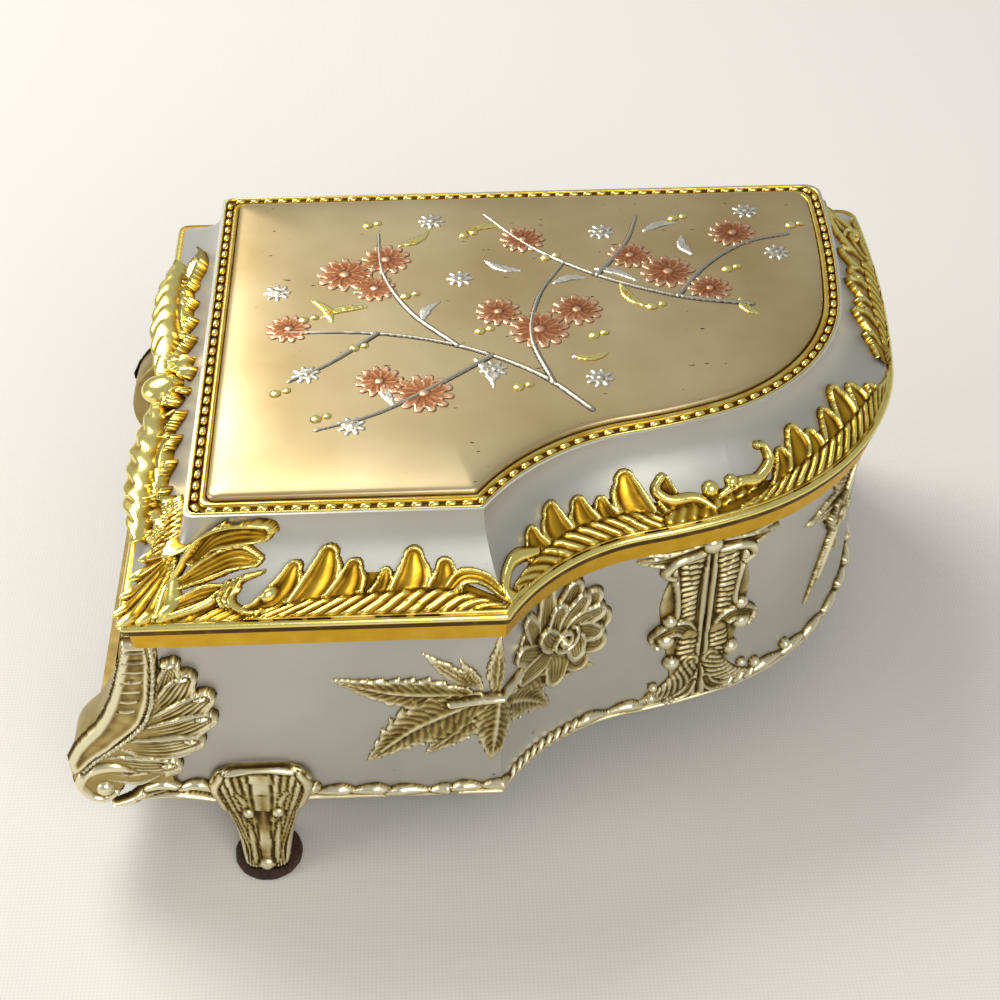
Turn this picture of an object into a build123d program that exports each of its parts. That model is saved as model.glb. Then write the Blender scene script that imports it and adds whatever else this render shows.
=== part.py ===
from build123d import *
import os
from math import atan2, cos, pi, radians, sin, sqrt, tan

# A musical jewelry box in the shape of a grand piano, cast in zinc alloy, silvered and gilt.
# X runs along the straight spine from the keyboard end to the tail. Y runs back to the spine,
# where the lid is hinged. Z is up from the table. The plan starts at the front left corner
# of the lid's beaded edge, and the finished box is centred over the origin at the end.

# Plan at the beaded edge of the lid
SPINE_LENGTH = 116.0
CASE_DEPTH = 91.0

# The size that the curves and the carving are drawn at; they stretch with the box
DRAWN_LENGTH = 116.0
DRAWN_DEPTH = 91.0
STRETCH_X = SPINE_LENGTH / DRAWN_LENGTH
STRETCH_Y = CASE_DEPTH / DRAWN_DEPTH
FRONT_STRAIGHT = 47.0 * STRETCH_X
NOSE_SLIP = 0.32
WAIST_X = 72.4 * STRETCH_X
WAIST_Y = 17.2 * STRETCH_Y
WAIST_HEADING = 11.6
BELLY_RADIUS = 108.0 * STRETCH_X
BELLY_HEADING = 20.1
TAIL_RADIUS = 40.0 * STRETCH_X
TAIL_HEADING = 81.3
CORNER_RADIUS = 1.5
TAIL_CORNER_RADIUS = 3.0

# Heights, from the table up
WALL_FOOT = 13.0
CASE_HEIGHT = 41.2
LEDGE_HEIGHT = 3.4
LID_SEAM = 0.3
LID_RIM_HEIGHT = 2.2
LID_COVE_HEIGHT = 13.3

# Walls, as offsets outside the beaded edge
CASE_OFFSET = 7.8
CASE_WALL = 1.8
LEDGE_REACH = 2.2
LID_FLARE = 10.4
LID_LIP = 0.3
LID_COVE_POWER = 2.2
LID_WALL = 1.6
RELIEF = 1.1
LOBE_WIDTH = 4.4
LOBE_ROLL = 1.5
FIT_GAP = 0.3
SNUG = 0.05

# Lid furniture
BEAD_FRAME_WIDTH = 3.4
BEAD_FRAME_HEIGHT = 0.8
BEAD_LIP = 0.5
PLAQUE_HEIGHT = 2.4
PLAQUE_ROUND = 1.3
LID_POCKET_OFFSET = 6.2
LINING_BOARD = 1.6
LINING_SETBACK = 0.4
LINING_LEDGE = 1.0

# Hinge
HINGE_LENGTH = 42.0
HINGE_KNUCKLES = 5
HINGE_LEAF = 1.0
HINGE_LEAF_MARGIN = 0.6
HINGE_PIN_RADIUS = 0.8
HINGE_KNUCKLE_RADIUS = 1.7
HINGE_END_PLAY = 0.2
HINGE_CLEAR = 0.5
RIVET_RADIUS = 0.8
RIVET_LENGTH = 2.4
RIVETS_PER_LEAF = 3

# Keyboard end
KEY_COUNT = 35
KEYBED_REACH = 13.2
KEYBED_TOP = 22.4
KEYBED_WALL = 2.0
KEY_HEIGHT = 2.4
KEY_GROOVE = 0.5
KEY_GROOVE_DEPTH = 1.2
KEYSLIP_WIDTH = 1.8
KEYSLIP_HEIGHT = 2.9
CHEEK_THICKNESS = 9.0
CHEEK_PROUD = 1.0
CHEEK_RISE = 21.6
CHEEK_UNDERSIDE = 18.2
KNEE_REACH = 8.0
KNEE_RISE = 7.4
VOLUTE_PROUD = 3.6
VOLUTE_RADIUS = 4.2
VOLUTE_HEIGHT = 18.2

# Feet
FOOT_PLACE = 7.6
FOOT_SPLAY = 6.4
FOOT_TIP_WIDTH = 6.5
FOOT_TIP_DEPTH = 4.8
FOOT_CAP_WIDTH = 15.0
FOOT_CAP_DEPTH = 6.6
FOOT_SHIELD_HEIGHT = 7.6
FOOT_SHIELD = 1.5
TAIL_FOOT_BACK = 16.0
TAIL_FOOT_INSET = 2.0
PAD_RADIUS = 6.0
PAD_THICKNESS = 1.3
PAD_SPLAY_SHARE = 0.7

# Base plate and its screws
BASE_PLATE = 1.5
BASE_RECESS = 0.9
BOSS_RADIUS = 3.2
BOSS_HEIGHT = 5.0
SCREW_RADIUS = 1.2
SCREW_HEAD_RADIUS = 2.2
SCREW_HEAD = 0.9
SCREW_LENGTH = 4.2

# Jewel well
LINING = 1.4
LINING_BELOW_LEDGE = 1.0
WELL_FLOOR = 2.0
PARTITION = 1.6

# Musical movement, eighteen notes
MOVEMENT_TAIL_GAP = 6.5
MOVEMENT_SPINE_GAP = 4.5
BED_LENGTH = 50.0
BED_WIDTH = 42.0
BED = 3.0
BED_SCREW_INSET = 3.4
BARREL_EDGE = 2.5
BARREL_RADIUS = 12.0
BARREL_HEIGHT = 8.0
BARREL_WALL = 1.0
AXIS_V = 17.0
WHEEL_MODULE = 0.4
GREAT_TEETH = 48
DRUM_PINION_TEETH = 12
GREAT_WHEEL = 1.0
FACE_WIDTH = 1.4
TOOTH_ADDENDUM = 0.75
TOOTH_DEDENDUM = 1.25
TOOTH_SHARE = 0.36
DRUM_RADIUS = 6.5
DRUM_WALL = 0.9
DRUM_MARGIN = 0.6
NOTES = 18
NOTE_PITCH = 0.85
PINS_PER_NOTE = 6
PIN_RADIUS = 0.2
PIN_PROUD = 0.5
SHAFT_RADIUS = 0.8
SPINDLE_RADIUS = 0.6
SPINDLE_SEAT = 1.5
BEARING_HALF = 1.7
COMB = 1.0
COMB_TIP_GAP = 0.35
COMB_SLOT = 0.25
COMB_TOOTH_SHORT = 5.5
COMB_TOOTH_LONG = 9.5
COMB_BLOCK = 6.6
COMB_SCREWS = 3
TRAIN_MODULE = 0.3
DRUM_WHEEL_TEETH = 48
GOVERNOR_PINION_TEETH = 12
GOVERNOR_WHEEL_TEETH = 30
GEAR = 1.0
GEAR_GAP = 0.6
PLATE = 1.2
WORM_RADIUS = 1.1
WORM_LENGTH = 6.0
WORM_GAP = 0.3
FAN_RADIUS = 4.0
FAN_HEIGHT = 2.5
FAN_BLADE = 0.4
BRIDGE_WIDTH = 3.5
BRIDGE = 3.0
ARBOR_RADIUS = 1.6
SPRING_TURNS = 5
SPRING_STRIP = 0.35

# Winding key
KEY_SPAN = 19.0
KEY_DEPTH = 6.8
KEY_PLATE = 1.8
KEY_HUB_RADIUS = 3.0
KEY_HUB = 3.0

# Stop rod and cover
STOP_ROD_RADIUS = 0.9
STOP_GUIDE_WALL = 1.1
STOP_GUIDE_HEIGHT = 15.0
STOP_ROD_LAP = 12.0
COVER = 1.0
COVER_HEADROOM = 0.8

# Levels and places that follow
CASE_TOP = WALL_FOOT + CASE_HEIGHT
LEDGE_TOP = CASE_TOP + LEDGE_HEIGHT
LID_BOTTOM = LEDGE_TOP + LID_SEAM
RIM_TOP = LID_BOTTOM + LID_RIM_HEIGHT
LID_TOP = RIM_TOP + LID_COVE_HEIGHT
BEAD_SEAT = LID_TOP - BEAD_FRAME_HEIGHT
BOARD_TOP = LID_BOTTOM + LINING_SETBACK + LINING_BOARD
CASE_INNER = CASE_OFFSET - CASE_WALL
LEDGE_OFFSET = CASE_OFFSET + LEDGE_REACH
BASE_BOTTOM = WALL_FOOT + BASE_RECESS
BASE_TOP = BASE_BOTTOM + BASE_PLATE
LINING_TOP = LEDGE_TOP - LINING_BELOW_LEDGE
WELL_BOTTOM = BASE_TOP + BOSS_HEIGHT
HINGE_X = SPINE_LENGTH / 2
HINGE_Z = LEDGE_TOP + LID_SEAM / 2
HINGE_Y = CASE_DEPTH + LID_FLARE + RELIEF + HINGE_CLEAR + HINGE_KNUCKLE_RADIUS
HINGE_LEAF_START = CASE_DEPTH + LID_POCKET_OFFSET + HINGE_LEAF_MARGIN
KEYBED_X = -CASE_OFFSET - KEYBED_REACH
CHEEK_FRONT = -CASE_OFFSET - CHEEK_PROUD
CHEEK_INNER = CHEEK_FRONT + CHEEK_THICKNESS
BOSS_INSET = CASE_INNER - BOSS_RADIUS + 0.6
MOVEMENT_X = SPINE_LENGTH + CASE_INNER - MOVEMENT_TAIL_GAP
MOVEMENT_Y = CASE_DEPTH + CASE_INNER - MOVEMENT_SPINE_GAP - BED_WIDTH
PARTITION_X = MOVEMENT_X - BED_LENGTH - 3 * FIT_GAP - COVER - PARTITION

# How far past the plan a cut reaches, and how deep it takes in each side's wall
REACH = 2 * (LID_FLARE + KEYBED_REACH)
FRONT_ZONE = 5.0
BENT_ZONE = 0.66 * CASE_DEPTH
TAIL_ZONE = 8.0

nodes = {}


# Plan curves


def bow(start, radius, turn_from, turn_to):
    """Middle and end of a left-hand arc that runs between two headings."""
    def at(heading):
        across = radius * (sin(heading) - sin(turn_from))
        along = radius * (cos(turn_from) - cos(heading))
        return (start[0] + across, start[1] + along)
    return at((turn_from + turn_to) / 2), at(turn_to)


def arc_middle(start, direction, end):
    """Middle of the arc that leaves start along direction and ends at end."""
    chord = (end[0] - start[0], end[1] - start[1])
    length = sqrt(chord[0] ** 2 + chord[1] ** 2)
    turn = atan2(chord[1], chord[0]) - direction
    sag = length / 2 * tan(turn / 2)
    return ((start[0] + end[0]) / 2 + sag * chord[1] / length,
            (start[1] + end[1]) / 2 - sag * chord[0] / length)


def plan_wire(offset):
    """The piano's plan, grown outwards by offset."""
    left, front = -offset, -offset
    right, back = SPINE_LENGTH + offset, CASE_DEPTH + offset
    waist_turn = radians(WAIST_HEADING)
    belly_turn = radians(BELLY_HEADING)
    tail_turn = radians(TAIL_HEADING)
    outward = (sin(waist_turn), -cos(waist_turn))
    nose = (FRONT_STRAIGHT + NOSE_SLIP * offset, front)
    waist = (WAIST_X + offset * outward[0], WAIST_Y + offset * outward[1])
    belly_mid, belly = bow(waist, BELLY_RADIUS + offset, waist_turn, belly_turn)
    tail_mid, tail = bow(belly, TAIL_RADIUS + offset, belly_turn, tail_turn)
    r, t = CORNER_RADIUS, TAIL_CORNER_RADIUS
    k = 1 - sqrt(0.5)
    corner = (right, back - t)
    return Wire([
        Line((left + r, front), nose),
        ThreePointArc(nose, arc_middle(waist, waist_turn + pi, nose), waist),
        ThreePointArc(waist, belly_mid, belly),
        ThreePointArc(belly, tail_mid, tail),
        ThreePointArc(tail, arc_middle(tail, tail_turn, corner), corner),
        ThreePointArc(corner, (right - k * t, back - k * t), (right - t, back)),
        Line((right - t, back), (left + r, back)),
        ThreePointArc((left + r, back), (left + k * r, back - k * r), (left, back - r)),
        Line((left, back - r), (left, front + r)),
        ThreePointArc((left, front + r), (left + k * r, front + k * r), (left + r, front)),
    ])


def plan_face(offset, z):
    """The plan as a flat face at height z."""
    return Pos(0, 0, z) * Face(plan_wire(offset))


def prism(offset, bottom, top):
    """A straight-walled block of the plan."""
    return extrude(plan_face(offset, bottom), top - bottom, dir=(0, 0, 1))


def ring(outer, inner, bottom, top):
    """A straight-walled ring of the plan."""
    return prism(outer, bottom, top) - prism(inner, bottom - 1, top + 1)


def cove_offset(share):
    """How far the lid's hollow wall stands out at a share of its height."""
    return LID_LIP + (LID_FLARE - LID_LIP) * (1 - share) ** LID_COVE_POWER


def cove(extra):
    """The lid's flared wall as a solid, thickened outwards by extra."""
    shares = (0, 0.22, 0.45, 0.7, 1)
    return loft([plan_face(cove_offset(s) + extra, RIM_TOP + s * LID_COVE_HEIGHT) for s in shares])


# Simple solids


def block(low, high):
    """A block from its lowest to its highest corner."""
    size = [high[i] - low[i] for i in range(3)]
    return Pos(*low) * Box(*size, align=(Align.MIN, Align.MIN, Align.MIN))


def rod(x, y, bottom, top, radius):
    """An upright round bar."""
    bar = Cylinder(radius, top - bottom, align=(Align.CENTER, Align.CENTER, Align.MIN))
    return Pos(x, y, bottom) * bar


def rod_x(start, end, y, z, radius):
    """A round bar along X."""
    bar = Cylinder(radius, abs(end - start), align=(Align.CENTER, Align.CENTER, Align.MIN))
    return Pos(min(start, end), y, z) * Rot(0, 90, 0) * bar


def screw(x, y, head_bottom):
    """A round-headed screw that points up."""
    top = head_bottom + SCREW_HEAD + SCREW_LENGTH
    return rod(x, y, head_bottom, head_bottom + SCREW_HEAD, SCREW_HEAD_RADIUS) + rod(
        x, y, head_bottom, top, SCREW_RADIUS)


def group(solids):
    """Several separate solids kept together as one node."""
    parts = []
    for shape in solids:
        parts.extend(shape.solids())
    return Compound(parts)


def mirrored(shape):
    """The same piece on the other long side of the box."""
    return shape.mirror(Plane(origin=(0, CASE_DEPTH / 2, 0), z_dir=(0, 1, 0)))


# Carved ornament: leaf blades and berries cut from a thin skin over the wall


def upright(u, v, across):
    """A point drawn on the front or side elevation, stretched to the box's size."""
    return (u * STRETCH_X, 0, v) if across == "x" else (0, u * STRETCH_Y, v)


def blade(root, tip, width, bend, across):
    """A pointed leaf blade between two arcs."""
    du, dv = tip[0] - root[0], tip[1] - root[1]
    length = sqrt(du * du + dv * dv)
    normal = (-dv / length, du / length)
    middle = ((root[0] + tip[0]) / 2, (root[1] + tip[1]) / 2)
    sides = []
    for half in (width / 2, -width / 2):
        push = bend + half
        bulge = (middle[0] + normal[0] * push, middle[1] + normal[1] * push)
        sides.append(ThreePointArc(upright(*root, across), upright(*bulge, across), upright(*tip, across)))
    return Face(Wire(sides))


def berry(centre, radius, across):
    """A round boss."""
    plane = Plane(origin=upright(*centre, across), z_dir=(0, 1, 0) if across == "x" else (1, 0, 0))
    return plane * Circle(radius)


def carve(skin, start, end, blades, berries, across="x"):
    """The part of the skin that lies behind the drawn leaves, between two depths."""
    direction = (0, 1, 0) if across == "x" else (1, 0, 0)
    shift = Pos(0, start, 0) if across == "x" else Pos(start, 0, 0)
    faces = [blade(root, tip, width, bend, across) for root, tip, width, bend in blades]
    faces += [berry(centre, radius, across) for centre, radius in berries]
    bars = [extrude(shift * face, end - start, dir=direction) for face in faces]
    pieces = bars[0].fuse(*bars[1:]) if len(bars) > 1 else bars[0]
    return skin & pieces


def lobes(tips, base, lean):
    """Leaf lobes that rise from the rim and end in a rolled tip."""
    blades = [((u - lean, base), (u, v), LOBE_WIDTH, 0.2 * lean) for u, v in tips]
    rolls = [((u - 0.1 * lean, v - 0.8 * LOBE_ROLL), LOBE_ROLL) for u, v in tips]
    return blades, rolls


def crest(first, last, base, height, count, lean):
    """A row of lobes along the rim, tallest in the middle of the row."""
    shares = [(i + 0.5) / count for i in range(count)]
    tips = [(first + (last - first) * s, base + height * (0.6 + 0.4 * sin(pi * s))) for s in shares]
    return lobes(tips, base, lean)


# Lid


def hinge_pocket(bottom, top):
    """The shallow pocket that a hinge leaf lies in."""
    half = HINGE_LENGTH / 2 + FIT_GAP / 2
    return block((HINGE_X - half, HINGE_LEAF_START - SNUG, bottom), (HINGE_X + half, HINGE_Y, top))


def make_lid():
    pocket = prism(LID_POCKET_OFFSET, LID_BOTTOM - 1, BOARD_TOP)
    levels = [(BOARD_TOP, LID_POCKET_OFFSET - LINING_LEDGE)]
    for share in (0.3, 0.6):
        level = RIM_TOP + share * LID_COVE_HEIGHT - LID_WALL / 2
        levels.append((level, cove_offset(share) - 1.3 * LID_WALL))
    levels.append((BEAD_SEAT - LID_WALL, -LID_WALL))
    cavity = loft([plan_face(offset, level) for level, offset in levels])
    seat = prism(LID_LIP - BEAD_LIP, BEAD_SEAT, LID_TOP + 1)
    leaf_pocket = hinge_pocket(LID_BOTTOM - 1, LID_BOTTOM + HINGE_LEAF)
    shell = prism(LID_FLARE, LID_BOTTOM, RIM_TOP) + cove(0)
    shell = shell - pocket - cavity - seat - leaf_pocket
    nodes["lid_shell"] = shell - group(rivets(LID_BOTTOM + HINGE_LEAF, 1, SNUG))
    outer = LID_LIP - BEAD_LIP - SNUG
    inner = LID_LIP - BEAD_FRAME_WIDTH
    channel = ring(outer - BEAD_LIP, inner + BEAD_LIP, BEAD_SEAT + BEAD_LIP, LID_TOP + 1)
    nodes["lid_bead_frame"] = ring(outer, inner, BEAD_SEAT, LID_TOP) - channel
    nodes["lid_plaque"] = make_plaque(inner - SNUG)
    nodes["lid_lining"] = prism(LID_POCKET_OFFSET - FIT_GAP, LID_BOTTOM + LINING_SETBACK, BOARD_TOP)
    band = ring(LID_FLARE + RELIEF, LID_FLARE, LID_BOTTOM, RIM_TOP)
    nodes["lid_rim_band"] = band - leaf_pocket


def make_plaque(edge):
    """The pillow-shaped picture plaque, with a rolled edge and a low crown."""
    shoulder = BEAD_SEAT + PLAQUE_HEIGHT - PLAQUE_ROUND
    rows = ((0, 0), (0.6, 0.25), (0.9, 0.7), (1, 1.5))
    pillow = loft([plan_face(edge - PLAQUE_ROUND * inset, shoulder + PLAQUE_ROUND * rise)
                   for rise, inset in rows], ruled=True)
    return prism(edge, BEAD_SEAT, shoulder) + pillow


def make_lid_borders():
    """Gilt leaves that rise from the rim on every side of the lid."""
    skin = cove(RELIEF) - cove(0)
    low = RIM_TOP - SNUG
    fan = [((-9.6, low), (-10.6 + 2.3 * i, 65.6 - 0.5 * i), 2.4, 0) for i in range(5)]
    curls = [((-7, 65), (7.4, 69.9), 4.4, 1.8), ((-7, 62.6), (7.6, 65.0), 3.6, 1.4),
             ((-8, low), (6, 61.6), 3.2, 0.6)]
    corner = carve(skin, -REACH, FRONT_ZONE, fan + curls, [((8.6, 62.2), 2.8), ((6.6, 68.4), 1.5)])
    nodes["lid_corner_leaf"] = corner
    tips = [(15.5, 65.2), (21.1, 67.0), (25.9, 65.4), (31.5, 64.6), (36.3, 66.4), (42.9, 65.0)]
    blades, rolls = lobes(tips, low, 6.0)
    blades += [((13, low), (50, low + 0.8), 3.4, 0.8), ((41, 62.8), (51, low + 0.4), 2.6, 1.2)]
    rolls.append(((12.6, 61.9), 1.3))
    nodes["lid_border_front"] = carve(skin, -REACH, FRONT_ZONE, blades, rolls) - corner
    tips = [(58.8, 66.0), (63.2, 65.4), (67.0, 64.6), (70.8, 66.6)]
    blades, rolls = lobes(tips, low, 6.0)
    late, late_rolls = lobes([(104.2, 66.2), (106.8, 64.8), (114.8, 66.0), (117.4, 64.6)], low, 7.0)
    blades += late + [((52.5, low), (55, 64.8), 3.4, 1.0), ((56, low), (82, 61.4), 4.6, 1.0),
                      ((86, low), (120, low + 1.4), 5.0, 1.0), ((70, 61.4), (77.6, 65.6), 3.0, -0.8),
                      ((77, 62.6), (85.4, low), 1.8, -0.6), ((91.6, 62.6), (97.2, 65.4), 1.8, -0.8)]
    berries = [((85.9, 62.6), 1.3), ((89.8, 62.8), 1.2)]
    nodes["lid_border_bentside"] = carve(skin, -REACH, BENT_ZONE, blades, rolls + late_rolls + berries)
    nodes["lid_border_keyboard"] = paired_border(skin, DRAWN_DEPTH / 2, 43, 6, "y") - corner
    blades, rolls = crest(56, 88, low, 5.6, 5, 6.0)
    blades += [((50, low), (90, low + 1.2), 4.4, 1.0), ((80, 61), (90, 66), 4.0, 1.6)]
    nodes["lid_border_tail"] = carve(skin, SPINE_LENGTH - TAIL_ZONE, SPINE_LENGTH + REACH, blades,
                                     rolls + [((85, 61.8), 2.4)], "y")
    nodes["lid_border_spine"] = paired_border(skin, DRAWN_LENGTH / 2, 57, 8, "x")


def paired_border(skin, middle, reach, count, across):
    """Two runs of leaves that leave a central knob, one each way."""
    low = RIM_TOP - SNUG
    blades, rolls = [], [((middle, 62.8), 2.6)]
    for way in (-1, 1):
        more, tips = crest(middle + way * 8, middle + way * reach, low, 6.4, count, way * 6.0)
        blades += more + [((middle, low), (middle + way * reach, low + 0.8), 4.0, way * 1.0)]
        rolls += tips
    if across == "y":
        return carve(skin, -REACH, FRONT_ZONE, blades, rolls, across)
    return carve(skin, CASE_DEPTH - FRONT_ZONE, CASE_DEPTH + REACH, blades, rolls, across)


# Hinge


def rivets(start, way, extra):
    """Hinge rivets that run up or down from a leaf into the casting."""
    solids = []
    leaf_middle = (HINGE_LEAF_START + CASE_DEPTH + LEDGE_OFFSET) / 2
    for i in range(RIVETS_PER_LEAF):
        x = HINGE_X + HINGE_LENGTH * ((i + 0.5) / RIVETS_PER_LEAF - 0.5)
        near, far = start - way * HINGE_LEAF, start + way * (RIVET_LENGTH - HINGE_LEAF)
        solids.append(rod(x, leaf_middle, min(near, far), max(near, far), RIVET_RADIUS + extra))
    return solids


def hinge_leaf(bottom, which):
    """One stamped leaf with every second knuckle of the hinge."""
    half = HINGE_LENGTH / 2
    edge = HINGE_Y - HINGE_KNUCKLE_RADIUS - FIT_GAP
    leaf = block((HINGE_X - half, HINGE_LEAF_START, bottom), (HINGE_X + half, edge, bottom + HINGE_LEAF))
    pitch = HINGE_LENGTH / HINGE_KNUCKLES
    for i in range(which, HINGE_KNUCKLES, 2):
        start = HINGE_X - half + i * pitch + HINGE_END_PLAY / 2
        end = start + pitch - HINGE_END_PLAY
        leaf += block((start, edge, bottom), (end, HINGE_Y, bottom + HINGE_LEAF))
        leaf += rod_x(start, end, HINGE_Y, HINGE_Z, HINGE_KNUCKLE_RADIUS)
    bore = rod_x(HINGE_X - half - 1, HINGE_X + half + 1, HINGE_Y, HINGE_Z, HINGE_PIN_RADIUS + SNUG)
    return leaf - bore


def make_hinge():
    ledge_start = LEDGE_TOP - HINGE_LEAF
    lid_start = LID_BOTTOM + HINGE_LEAF
    below = rivets(ledge_start, -1, SNUG)
    above = rivets(lid_start, 1, SNUG)
    nodes["hinge_leaf_case"] = hinge_leaf(ledge_start, 0) - group(below)
    nodes["hinge_leaf_lid"] = hinge_leaf(LID_BOTTOM, 1) - group(above)
    nodes["hinge_rivets_case"] = group(rivets(ledge_start, -1, 0))
    nodes["hinge_rivets_lid"] = group(rivets(lid_start, 1, 0))
    half = HINGE_LENGTH / 2 + HINGE_END_PLAY
    nodes["hinge_pin"] = rod_x(HINGE_X - half, HINGE_X + half, HINGE_Y, HINGE_Z, HINGE_PIN_RADIUS)


# Case


def boss_places():
    """Where the base plate is screwed to the case."""
    low = -BOSS_INSET
    far_x, far_y = SPINE_LENGTH + BOSS_INSET, CASE_DEPTH + BOSS_INSET
    return [(low, low), (low, far_y), (FRONT_STRAIGHT - BOSS_RADIUS, low), (far_x, far_y)]


def make_case():
    wall = ring(CASE_OFFSET, CASE_INNER, WALL_FOOT, CASE_TOP)
    keybed = block((KEYBED_X, CHEEK_INNER, WALL_FOOT), (-CASE_OFFSET, CASE_DEPTH - CHEEK_INNER, KEYBED_TOP))
    under = block((KEYBED_X + KEYBED_WALL, CHEEK_INNER + KEYBED_WALL, WALL_FOOT - 1),
                  (-CASE_OFFSET, CASE_DEPTH - CHEEK_INNER - KEYBED_WALL, KEYBED_TOP - KEYBED_WALL))
    shell = wall + (keybed - under)
    for x, y in boss_places():
        boss = rod(x, y, BASE_TOP, WELL_BOTTOM, BOSS_RADIUS) & prism(CASE_INNER, WALL_FOOT, WELL_BOTTOM)
        shell += boss
        shell -= rod(x, y, BASE_TOP - 1, WELL_BOTTOM - 1, SCREW_RADIUS + SNUG)
    nodes["case_shell"] = shell
    ledge = ring(LEDGE_OFFSET, CASE_INNER, CASE_TOP, LEDGE_TOP)
    ledge -= hinge_pocket(LEDGE_TOP - HINGE_LEAF, LEDGE_TOP + 1)
    nodes["gilt_ledge"] = ledge - group(rivets(LEDGE_TOP - HINGE_LEAF, -1, SNUG))


def make_keyboard():
    """A row of keys with rounded tops behind a raised slip."""
    first, last = CHEEK_INNER, CASE_DEPTH - CHEEK_INNER
    slip = KEYBED_X + KEYSLIP_WIDTH
    top = KEYBED_TOP + KEY_HEIGHT
    shoulder = top - KEY_GROOVE_DEPTH
    pitch = (last - first) / KEY_COUNT

    def at(y, z):
        return (slip, y, z)
    edges = [Line(at(last, shoulder), at(last, KEYBED_TOP)),
             Line(at(last, KEYBED_TOP), at(first, KEYBED_TOP)),
             Line(at(first, KEYBED_TOP), at(first, shoulder))]
    for i in range(KEY_COUNT):
        left = first + i * pitch + (KEY_GROOVE / 2 if i else 0)
        right = first + (i + 1) * pitch - (KEY_GROOVE / 2 if i < KEY_COUNT - 1 else 0)
        edges.append(ThreePointArc(at(left, shoulder), at((left + right) / 2, top), at(right, shoulder)))
        if i < KEY_COUNT - 1:
            edges.append(Line(at(right, shoulder), at(right + KEY_GROOVE, shoulder)))
    nodes["keyboard"] = extrude(Face(Wire(edges)), -CASE_OFFSET - slip, dir=(1, 0, 0))
    nodes["keyslip"] = block((KEYBED_X, first, KEYBED_TOP), (slip, last, KEYBED_TOP + KEYSLIP_HEIGHT))


def make_cheeks():
    """The scrolled arms that close the keyboard at either side."""
    wall = -CASE_OFFSET
    eye = (wall - KEYBED_REACH - VOLUTE_PROUD + VOLUTE_RADIUS, VOLUTE_HEIGHT)

    def round_eye(degrees):
        turn = radians(degrees)
        return (eye[0] + VOLUTE_RADIUS * cos(turn), eye[1] + VOLUTE_RADIUS * sin(turn))
    knee = (wall - KNEE_REACH, KEYBED_TOP + KNEE_RISE)
    start = (wall, KEYBED_TOP + CHEEK_RISE)
    crown, lip = round_eye(130), round_eye(-30)
    hollow = (lip[0] + VOLUTE_RADIUS / 2, CHEEK_UNDERSIDE)
    foot = (wall, CHEEK_UNDERSIDE)

    def at(point):
        return (point[0], CHEEK_FRONT, point[1])
    outline = Wire([
        Line(at(foot), at(start)),
        ThreePointArc(at(start), at(arc_middle(start, -pi / 2, knee)), at(knee)),
        Line(at(knee), at(crown)),
        ThreePointArc(at(crown), at(round_eye(230)), at(lip)),
        ThreePointArc(at(lip), at(arc_middle(lip, pi / 2, hollow)), at(hollow)),
        Line(at(hollow), at(foot)),
    ])
    arm = extrude(Face(outline), CHEEK_THICKNESS, dir=(0, 1, 0))
    skin = block((wall - 1, CHEEK_FRONT, WALL_FOOT + 1), (CASE_OFFSET, -CASE_OFFSET, CASE_TOP - SNUG))
    tips = [(-2.2, 44.8), (0.2, 39.6), (0.0, 34.4), (-2.4, 28.8), (-5.4, 23.0)]
    leaves = [((wall - 2, v - 6), (u, v), 5.6, -1.2) for u, v in tips]
    leaves.append(((wall + 0.6, KEYBED_TOP), (wall + 0.6, CASE_TOP - 0.6), 2.0, 0))
    rolls = [((u - 0.9, v - 0.9), 1.2) for u, v in tips]
    cheek = arm + carve(skin, CHEEK_FRONT - 1, 0, leaves, rolls)
    nodes["cheek_front"] = cheek
    nodes["cheek_back"] = mirrored(cheek)


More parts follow.
